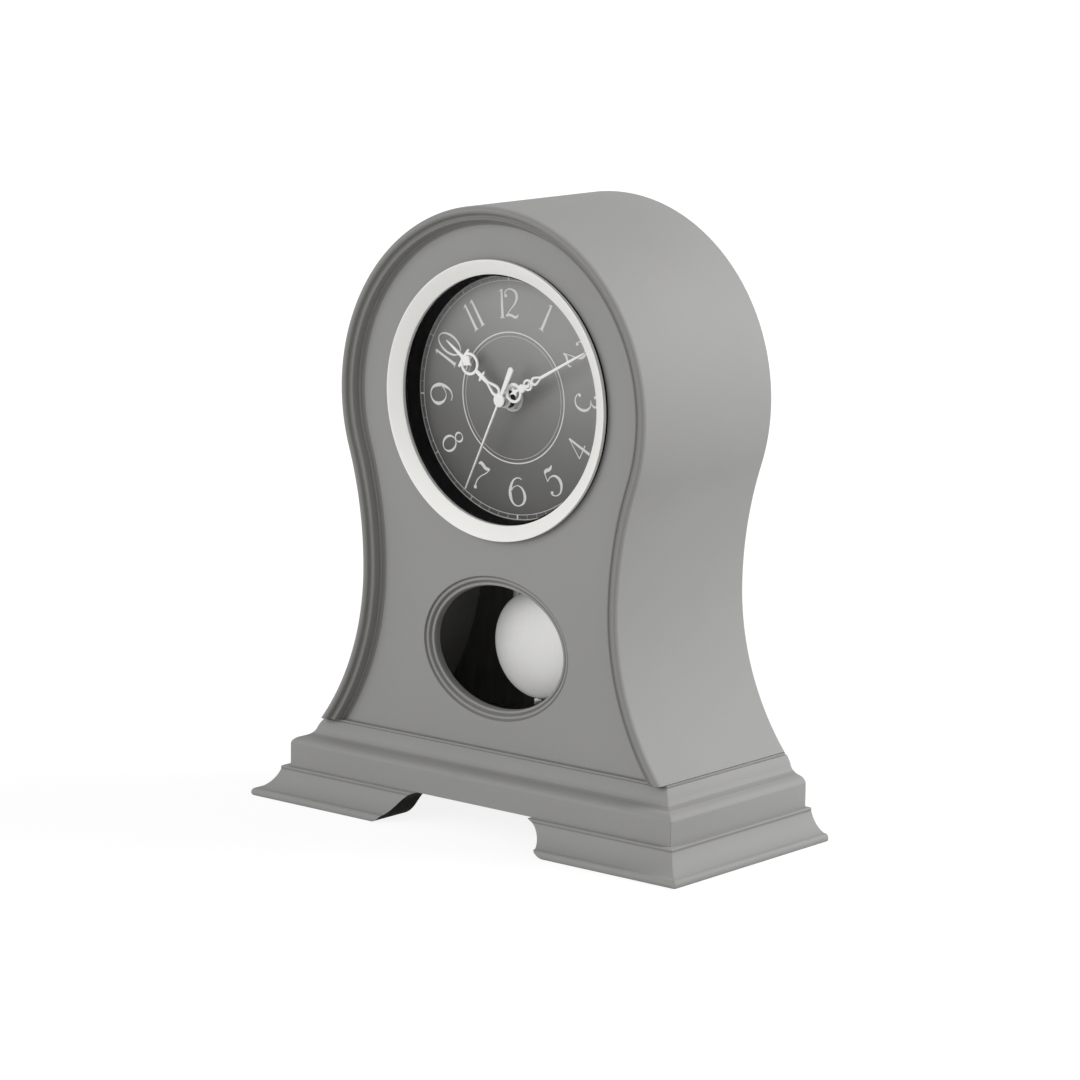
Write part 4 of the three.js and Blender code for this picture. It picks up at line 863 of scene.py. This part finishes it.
# For each hour from twelve on: figures with their shift and their stretch in width
NUMBERS = [
    [(TWO, 1.1, 1), (ONE, -4.9, 1)], [(ONE, 0, 1)], [(TWO, 0, 1)], [(THREE, 0, 1.08)],
    [(FOUR, 0, 1)], [(FIVE, 0, 1.12)], [(SIX, 0.6, 1.27)], [(SEVEN, 0, 1)], [(EIGHT, 0, 1.18)],
    [(NINE, 0, 1.27)], [(ONE, -5.4, 1), (NOUGHT, 2, 1)], [(ONE, -2.5, 1), (ONE, 2.5, 1)]]
NUMBER_SIZE = 0.955 * MM
DIAL_LEAN = -3.7
NUMBER_RADIUS = 45.6 * MM
INNER_CIRCLE = 31.8 * MM
FAINT_CIRCLE = 29.9 * MM
TRACK_RADII = (56.8 * MM, 59.1 * MM)
INNER_LINE = 0.6 * MM
FAINT_LINE = 0.17 * MM
TRACK_LINE = 0.28 * MM
# Half widths of the marks at every so many minutes
TICKS = ((15, 0.45 * MM), (5, 0.2 * MM), (1, 0.06 * MM))
RING_THINNING = 0.45


def glyph_parts(glyph, shift, stretch):
    """Outlines of one figure about its own middle, widened and then moved sideways by the shift."""
    parts = [(ribbon(stroke), []) for stroke in glyph.get("strokes", [])]
    parts += [(oval(x, z, radius, radius, 20), []) for x, z, radius in glyph.get("dots", [])]
    for x, z, half_width, half_height, line in glyph.get("rings", []):
        inner = oval(x, z, half_width - line, half_height - line * RING_THINNING, 48)
        parts.append((oval(x, z, half_width, half_height, 48), [inner]))
    return mapped(parts, lambda x, z: (x * stretch + shift, z))


def turned(point, degrees):
    """A point of the dial plane turned clockwise about its middle, as the viewer sees it."""
    angle = math.radians(degrees)
    x, z = point
    return (x * math.cos(angle) + z * math.sin(angle), z * math.cos(angle) - x * math.sin(angle))


def ring_part(radius, line):
    outer, inner = radius + line / 2, radius - line / 2
    return (oval(0, 0, outer, outer, 160), [oval(0, 0, inner, inner, 160)])


def dial_print():
    parts = []
    for hour, figures in enumerate(NUMBERS):
        upside = 180 if 4 <= hour <= 8 else 0
        reach = -NUMBER_RADIUS if upside else NUMBER_RADIUS

        def onto(x, z, degrees=30 * hour + upside + DIAL_LEAN, reach=reach):
            return turned((x * NUMBER_SIZE, z * NUMBER_SIZE + reach), degrees)

        for figure in figures:
            parts += mapped(glyph_parts(*figure), onto)
    parts += [ring_part(INNER_CIRCLE, INNER_LINE), ring_part(FAINT_CIRCLE, FAINT_LINE)]
    parts += [ring_part(radius, TRACK_LINE) for radius in TRACK_RADII]
    low, high = TRACK_RADII
    for minute in range(60):
        half = next(width for step, width in TICKS if minute % step == 0)
        corners = [(-half, low), (half, low), (half, high), (-half, high)]
        parts.append(([turned(corner, 6 * minute + DIAL_LEAN) for corner in corners], []))
    shell = plate(parts, DIAL_FRONT - PRINT_LIFT, DIAL_FRONT,
                  place=lambda x, z: (x, z + DIAL_CENTRE.z))
    piece("dial_print", [(shell, FINISHES["print_white"])], "frame")


# Hands, drawn in millimetres pointing up from their centre

def disc(z, radius, steps=40):
    return (oval(0, z, radius, radius, steps), [])


def loop(z, radius, line):
    return (oval(0, z, radius, radius, 56), [oval(0, z, radius - line, radius - line, 56)])


def stem(*points):
    """Bar along the hand through (z, width) points."""
    return (ribbon([(0, z, width) for z, width in points]), [])


def drop_outline(base, tip, half):
    length = tip - base
    side = spline([(0, base), (0.72 * half, base + 0.07 * length), (half, base + 0.28 * length),
                   (0.62 * half, base + 0.58 * length), (0, tip)], 8)
    return side + [(-x, z) for x, z in reversed(side[1:-1])]


# How many line widths a drop is solid at its point
DROP_POINT = 2.4


def drop(base, tip, half, line):
    """Open drop-shaped loop with its point outwards."""
    inner = drop_outline(base + line, tip - DROP_POINT * line, half - line)
    return (drop_outline(base, tip, half), [inner])


HAND_THICKNESS = 0.8 * MM
HAND_EASE = 0.18 * MM
COLLAR_RADIUS = 2.9 * MM
COLLAR_LENGTH = 0.4 * MM
SECOND_HUB = 3.4 * MM
# Sizes in the millimetres of the drawing
HOUR_BORE = 2.6
MINUTE_BORE = 1.6
SECOND_TAIL = 18.2
TAIL_ROUND = 1.6


def hand(name, node, parts, bore, body, caps=(), pipes=()):
    """White hand from flat parts, with white caps and steel pipes on its axis."""
    spots = [(v.co.x, v.co.z - DIAL_CENTRE.z) for v in frame["nodes"][node].data.vertices]
    degrees = math.degrees(math.atan2(*max(spots, key=lambda spot: math.hypot(*spot))))

    def onto(x, z):
        x, z = turned((x, z), degrees)
        return (x, z + DIAL_CENTRE.z)

    drawn = mapped(parts, lambda x, z: (x * MM, z * MM))
    if bore:
        drawn[0][1].append(oval(0, 0, bore * MM, bore * MM, 32))
    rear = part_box(node)[1].y
    white = [plate(drawn, rear - HAND_THICKNESS, rear, HAND_EASE, onto), *caps]
    shells = [(shell, FINISHES["hand_white"]) for shell in white]
    shells += [(shell, FINISHES["steel"]) for shell in pipes]
    piece(name, shells, body, [node])


def crossbar(z, half, middle, end):
    """Bar across the hand, thick in the middle."""
    return (ribbon([(-half, z, end), (-half / 2, z, (middle + end) / 2), (0, z, middle),
                    (half / 2, z, (middle + end) / 2), (half, z, end)]), [])


def hour_hand():
    leaf = spline([(0, 25), (1.1, 27), (2.9, 28.9), (1.6, 30.7), (1, 32.8), (-1, 32.8),
                   (-1.6, 30.7), (-2.9, 28.9), (-1.1, 27), (0, 25)], 5)[:-1]
    parts = [disc(0, 4.1), drop(3.4, 15.6, 2.8, 1.5), stem((12.6, 1.9), (17.2, 2.3), (21.8, 1.9)),
             crossbar(17.2, 2.9, 1.9, 0.8), loop(26.6, 5.6, 1.4), crossbar(31.1, 5.5, 2.2, 1.2),
             (leaf, []), stem((31.4, 2.2), (36, 1.6), (41, 1.15), (44.6, 0.5))]
    hand("hand_hour", "hour_hand", parts, HOUR_BORE, "hour")


def minute_hand():
    star = spline([(0.5, 12.9), (0.6, 10.4), (2.1, 9.2), (0.5, 8.3), (-0.2, 5.8), (-1, 8.2),
                   (-2.7, 8.8), (-1, 10.2), (-0.7, 12.9), (0.5, 12.9)], 5)[:-1]
    scroll = ribbon([(-0.4, 16, 1.4), (0.3, 17.4, 1.7), (0.5, 18.5, 1.6), (-0.2, 19.4, 1),
                     (-0.9, 19.1, 0.4)])
    parts = [disc(0, 3.4), stem((2.4, 2.2), (5, 2)), loop(8.6, 4.9, 1.4), (star, []),
             disc(14.2, 2.1), loop(18.4, 2.9, 1.1), (scroll, []), drop(20.9, 29.5, 2.2, 1.15),
             stem((27.2, 1.6), (34, 1.4), (50, 1.15), (58, 0.6))]
    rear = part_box("minute_hand")[1].y
    bore, end = MINUTE_BORE * MM, rear + COLLAR_LENGTH
    collar = [(bore, rear), (COLLAR_RADIUS, rear), (COLLAR_RADIUS, end), (bore, end)]
    pipe = lathe(collar, steps=48, loop=True)
    hand("hand_minute", "minute_hand", parts, MINUTE_BORE, "minute", pipes=[pipe])


def second_hand():
    low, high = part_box("second_hand")
    tail = TAIL_ROUND - SECOND_TAIL
    parts = [disc(0, 2.4), stem((0, 1.2), (25, 0.9), (50, 0.5)),
             stem((0, 1.5), (-8, 2.3), (tail, 2 * TAIL_ROUND)), disc(tail, TAIL_ROUND, 28)]
    crown, end, seat = low.y + 0.5 * MM, high.y + 0.8 * MM, high.y - 0.2 * MM
    bore = 0.5 * SECOND_HUB
    dome = [(0, low.y), (0.7 * SECOND_HUB, low.y + 0.05 * MM),
            (0.92 * SECOND_HUB, low.y + 0.2 * MM), (SECOND_HUB, crown)]
    pipe = [(SECOND_HUB, crown), (SECOND_HUB, end), (bore, end), (bore, seat), (0, seat)]
    cap, sleeve = (lathe(line, steps=48, caps=False) for line in (dome, pipe))
    hand("hand_second", "second_hand", parts, 0, "second", [cap], [sleeve])


def hexagon(least):
    """Radius of a hexagon's side for a lathe, for radii above the least."""
    def shape(radius, angle):
        if radius < least:
            return radius
        turn = (angle + math.pi / 6) % (math.pi / 3) - math.pi / 6
        return min(radius, least + (radius - least) * 2) * math.cos(math.pi / 6) / math.cos(turn)
    return shape


NUT_EASE = 0.5 * MM
WASHER_EASE = 0.2 * MM


def bush():
    """Hexagon nut and washer that hold the movement's bush on the dial."""
    low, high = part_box("bush_nut")
    radius = high.x
    profile = [(DIAL_BORE, low.y), (0.84 * radius, low.y), (radius, low.y + NUT_EASE),
               (radius, high.y), (DIAL_BORE, high.y)]
    shell = lathe(profile, steps=72, loop=True, shape=hexagon(0.9 * radius))
    piece("nut_hexagon", [(shell, ZINC)], "frame", ["bush_nut"])
    low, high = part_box("bush_washer")
    radius = high.x
    profile = [(DIAL_BORE, low.y), (radius - WASHER_EASE, low.y), (radius, low.y + WASHER_EASE),
               (radius, high.y), (DIAL_BORE, high.y)]
    shell = lathe(profile, steps=72, loop=True)
    piece("washer_ring", [(shell, ZINC)], "frame", ["bush_washer"])


# Pendulum

def box_of(node):
    """Low corner, high corner and middle of a node's box."""
    low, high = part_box(node)
    return low, high, (low + high) / 2


BOB_EDGE = 1.5 * MM
BOB_EASE = 0.3 * MM
BOB_STEPS = 28
# Powers that keep its face full in the middle and steep at the rim
BOB_CURVE = (2.8, 0.6)


def bob():
    low, high, centre = box_of("pendulum_bob")
    radius = high.x
    rim = high.y - BOB_EDGE
    crown = rim - low.y
    full, steep = BOB_CURVE
    profile = []
    for i in range(BOB_STEPS + 1):
        share = math.sin(math.pi / 2 * i / BOB_STEPS)
        profile.append((radius * share, rim - crown * (1 - share**full) ** steep))
    profile += [(radius, high.y - BOB_EASE), (radius - BOB_EASE, high.y), (0, high.y)]
    plain("bob_disc", [lathe(profile, centre, steps=128)], "pendulum", "bob_silver", ["pendulum_bob"])


def knurled(count, depth, least):
    """Shape for a lathe: grooves along the axis, for radii above the least."""
    def shape(radius, angle):
        share = depth * (0.5 + 0.5 * math.cos(count * angle)) if radius > least else 0
        return radius * (1 - share)
    return shape


def rating_nut():
    low, high, centre = box_of("rating_nut")
    radius, bore, ease = (high.x - low.x) / 2, 1.2 * MM, 0.4 * MM
    profile = eased(bore, radius, low.z, high.z, ease)
    shell = lathe(profile, centre, "Z", 144, True, knurled(24, 0.09, radius - ease / 2))
    plain("nut_knurled", [shell], "rating", "steel", ["rating_nut"])


# Back and movement

def door_pull():
    low, high, centre = box_of("door_pull")
    radius, neck, seat = (high.x - low.x) / 2, 3.3 * MM, low.y
    profile = [(0, seat), (1.25 * neck, seat), (1.22 * neck, seat + 0.6 * MM)]
    profile += spline([
        (1.05 * neck, seat + 1.2 * MM), (0.9 * neck, seat + 2.6 * MM), (neck, seat + 3.8 * MM),
        (0.82 * radius, seat + 4.8 * MM), (radius, seat + 6.2 * MM),
        (0.86 * radius, seat + 7.5 * MM), (0.5 * radius, high.y - 0.15 * MM), (0, high.y)], 5)
    plain("pull_knob", [lathe(profile, centre, steps=64)], "door", "brass", ["door_pull"])


def setting_knob():
    low, high, centre = box_of("setting_knob")
    radius, neck, dish = (high.x - low.x) / 2, 3.1 * MM, high.y - 0.4 * MM
    shoulder, ease = low.y + 1.8 * MM, 0.5 * MM
    profile = [(0, low.y), (neck, low.y), (neck, low.y + 1 * MM), (radius - ease, shoulder - ease),
               (radius, shoulder), (radius, high.y - ease), (radius - ease, high.y),
               (0.55 * radius, high.y), (0.5 * radius, dish), (0, dish)]
    shape = knurled(20, 0.1, radius - ease / 2)
    shell = lathe(profile, centre, steps=160, shape=shape)
    plain("knob_ribbed", [shell], "setting", "black_plastic", ["setting_knob"])


def battery():
    """AA cell: a dark sleeve between a plain steel base and a steel button."""
    low, high, centre = box_of("battery_cell")
    radius = (high.z - low.z) / 2
    ease, rim, nub, nub_length = 0.6 * MM, 1.2 * MM, 2.75 * MM, 1.3 * MM
    inner, end = radius - rim, high.x - nub_length
    start, dip, nub_ease = low.x + 0.1 * MM, end - 0.3 * MM, 0.3 * MM
    sleeve = [(inner, start), (radius - ease, start), (radius, low.x + ease),
              (radius, end - ease), (radius - ease, end), (inner, end)]
    base = [(0, low.x), (inner, low.x), (inner, start)]
    button = [(inner, end), (inner, dip), (nub + 0.4 * MM, dip), (nub, end),
              (nub, high.x - nub_ease), (nub - nub_ease, high.x), (0, high.x)]
    steel, wrap = FINISHES["steel"], FINISHES["battery"]
    shells = [(lathe(profile, centre, "X", 64, caps=False), finish)
              for profile, finish in ((base, steel), (sleeve, wrap), (button, steel))]
    piece("battery_aa", shells, "frame", ["battery_cell"])


# Screw heads in shares of their radius, with the slot's lean in degrees
SLOT_HALF = 0.22
HEAD_RISE = 0.45
HEAD_EASE = 0.18
HEAD_EDGE = 0.3
SLOT_LEAN = 40


def screw_shells(places, radius, seat):
    """Slotted screw heads on a plane of constant Y that faces the back."""
    shells = []
    rise = HEAD_RISE * radius
    lean = math.asin(SLOT_HALF)
    upper = arc(0, 0, radius, lean, math.pi - lean, 20)
    lower = arc(0, 0, radius, math.pi + lean, TURN - lean, 20)
    rim = seat + HEAD_EDGE * rise
    for x, z in places:
        def onto(px, pz, x=x, z=z):
            px, pz = turned((px, pz), SLOT_LEAN)
            return (x + px, z + pz)

        halves = [(upper, []), (lower, [])]
        shells.append(plate(halves, seat + rise, rim, HEAD_EASE * radius, onto))
        shells.append(plate([(oval(0, 0, radius, radius, 40), [])], rim, seat, 0, onto))
    return shells


HINGE_AXIS = 52.3 * MM
LEAF_MIDDLE = 6.6 * MM
LEAF_THICKNESS = 0.8 * MM
LEAF_PITCH = 8 * MM
LEAF_SCREW = 1.5 * MM
BOARD_SCREW = 2 * MM
COVER_SCREW = 1.6 * MM
# Places in millimetres, each on both sides of the middle
BOARD_SCREWS = ((88, 52), (70, 122), (84, 200), (46, 277))
COVER_SCREWS = ((23, 163), (23, 224))
HINGES = ("lower", "upper")


def screws():
    """Screws of the hinges, the back board and the movement's cover."""
    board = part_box("back_board")[1].y
    for place in HINGES:
        for leaf, body, side in (("fixed_leaf", "frame", 1), ("door_leaf", "door", -1)):
            low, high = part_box(f"hinge_{place}_{leaf}")
            x, middle = HINGE_AXIS + side * LEAF_MIDDLE, (low.z + high.z) / 2
            places = [(x, middle + row * LEAF_PITCH) for row in (-1, 0, 1)]
            shells = screw_shells(places, LEAF_SCREW, board + LEAF_THICKNESS)
            plain(f"screws_{place}_{leaf}", shells, body, "brass")
    places = [(side * x * MM, z * MM) for side in (-1, 1) for x, z in BOARD_SCREWS]
    plain("screws_back_board", screw_shells(places, BOARD_SCREW, board), "frame", "steel")
    places = [(side * x * MM, z * MM) for x, z in COVER_SCREWS for side in (-1, 1)]
    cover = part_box("movement_cover")[1].y
    plain("screws_cover", screw_shells(places, COVER_SCREW, cover), "frame", "steel")


EASED_ANGLE = 40


def ease_edges(names, width, flat=False):
    """Small rounded edges on nodes whose own shape is right. Flat boards keep flat shading."""
    for name in names:
        node = frame["nodes"][name]
        weld = node.modifiers.new("weld", "WELD")
        weld.merge_threshold = NODE_WELD
        bevel = node.modifiers.new("edges", "BEVEL")
        bevel.width = width
        bevel.segments = 2
        bevel.limit_method = "ANGLE"
        bevel.angle_limit = math.radians(EASED_ANGLE)
        bevel.harden_normals = not flat
        if flat:
            node.data.shade_flat()
        else:
            node.data.shade_smooth()


case_shell()
front_panel()
base_cap()
plinth()
foot(-1, "bracket_foot_left", "foot_left")
foot(1, "bracket_foot_right", "foot_right")
bezel()
crystal()
surround()
dial()
dial_print()
hour_hand()
minute_hand()
second_hand()
bush()
bob()
rating_nut()
door_pull()
setting_knob()
battery()
screws()
ease_edges(["back_board", "back_door"], 0.5 * MM, flat=True)
ease_edges(["movement_housing", "movement_cover"], 0.5 * MM)
ease_edges(["pendulum_rod_left", "pendulum_rod_right", "pendulum_yoke", "drive_lever",
            "catch_magnet"], 0.25 * MM)
LEAVES = [f"hinge_{place}_{leaf}" for place in HINGES for leaf in ("fixed_leaf", "door_leaf")]
ease_edges(LEAVES, 0.15 * MM)


# Stage: floor, light and camera

def seen_rays(tree):
    """1 for camera, glossy and transmitted rays."""
    path = add(tree, "ShaderNodeLightPath")
    seen = path.outputs["Is Camera Ray"]
    for name in ("Is Glossy Ray", "Is Transmission Ray"):
        seen = maths(tree, "MAXIMUM", seen, path.outputs[name])
    return seen


FLOOR_HALF = 15
FLOOR_BOUNCE = (0.6, 0.6, 0.6, 1)
FLOOR_PALE = (0.2, 0.2, 0.2, 1)
FLOOR_GLOW = 0.87
GLOW_NEAR, GLOW_FAR = 0.35, 1.6


def floor():
    mesh = bpy.data.meshes.new("floor")
    corners = [(-1, -1), (1, -1), (1, 1), (-1, 1)]
    mesh.from_pydata([(x * FLOOR_HALF, y * FLOOR_HALF, 0) for x, y in corners], [], [(0, 1, 2, 3)])
    made = new_object("floor", mesh)
    material, tree, shader = new_material("floor_white")
    put(tree, shader, {"Roughness": 1, "Specular IOR Level": 0, "Base Color": FLOOR_BOUNCE})
    pale = add(tree, "ShaderNodeBsdfDiffuse", {"Color": FLOOR_PALE})
    away = add(tree, "ShaderNodeVectorMath", {0: place_of(tree)}, operation="LENGTH")
    rise = span(tree, away.outputs["Value"], FLOOR_GLOW, 1, GLOW_NEAR, GLOW_FAR)
    glow = add(tree, "ShaderNodeEmission", {"Color": (1, 1, 1, 1), "Strength": rise})
    lit = add(tree, "ShaderNodeAddShader", {0: pale.outputs[0], 1: glow.outputs[0]})
    inputs = {"Fac": seen_rays(tree), 1: shader.outputs[0], 2: lit.outputs[0]}
    both = add(tree, "ShaderNodeMixShader", inputs)
    put(tree, tree.nodes["Material Output"], {"Surface": both.outputs[0]})
    mesh.materials.append(material)


WORLD_FILL = 0.36


def world():
    made = bpy.data.worlds.new("studio")
    made.use_nodes = True
    tree = made.node_tree
    strength = span(tree, seen_rays(tree), WORLD_FILL, 1, 0, 1)
    put(tree, tree.nodes["Background"], {"Strength": strength, "Color": (1, 1, 1, 1)})
    bpy.context.scene.world = made


AIM = Vector((0, 0, 0.16))


def lamp(name, place, size, power):
    data = bpy.data.lights.new(name, "AREA")
    data.shape = "DISK"
    data.size = size
    data.energy = power
    made = new_object(name, data)
    made.location = place
    made.rotation_mode = "QUATERNION"
    made.rotation_quaternion = (AIM - Vector(place)).to_track_quat("-Z", "Y")


CAMERA_PLACE = Vector((1.32672, -1.60964, 0.52783))
AZIMUTH, ELEVATION, ROLL = (math.radians(angle) for angle in (39.47, 10.54, 0.76))
FOCAL_LENGTH = 144.93
SENSOR = 36
CLIP = (0.05, 60)


def camera():
    back = Vector((math.sin(AZIMUTH) * math.cos(ELEVATION),
                   -math.cos(AZIMUTH) * math.cos(ELEVATION), math.sin(ELEVATION)))
    right = Vector((math.cos(AZIMUTH), math.sin(AZIMUTH), 0))
    up = back.cross(right)
    level, tilt = math.cos(ROLL), math.sin(ROLL)
    leaned = [level * right + tilt * up, level * up - tilt * right, back]
    data = bpy.data.cameras.new("camera")
    data.sensor_width = SENSOR
    data.lens = FOCAL_LENGTH
    data.clip_start, data.clip_end = CLIP
    made = new_object("camera", data)
    made.matrix_world = Matrix.Translation(CAMERA_PLACE) @ Matrix(leaned).transposed().to_4x4()
    bpy.context.scene.camera = made


floor()
world()
lamp("key", (-0.8, -2.3, 0.95), size=2.4, power=37)
lamp("side", (1.4, 1.25, 1.15), size=1.6, power=42)
camera()
bpy.context.scene.view_settings.view_transform = "Standard"
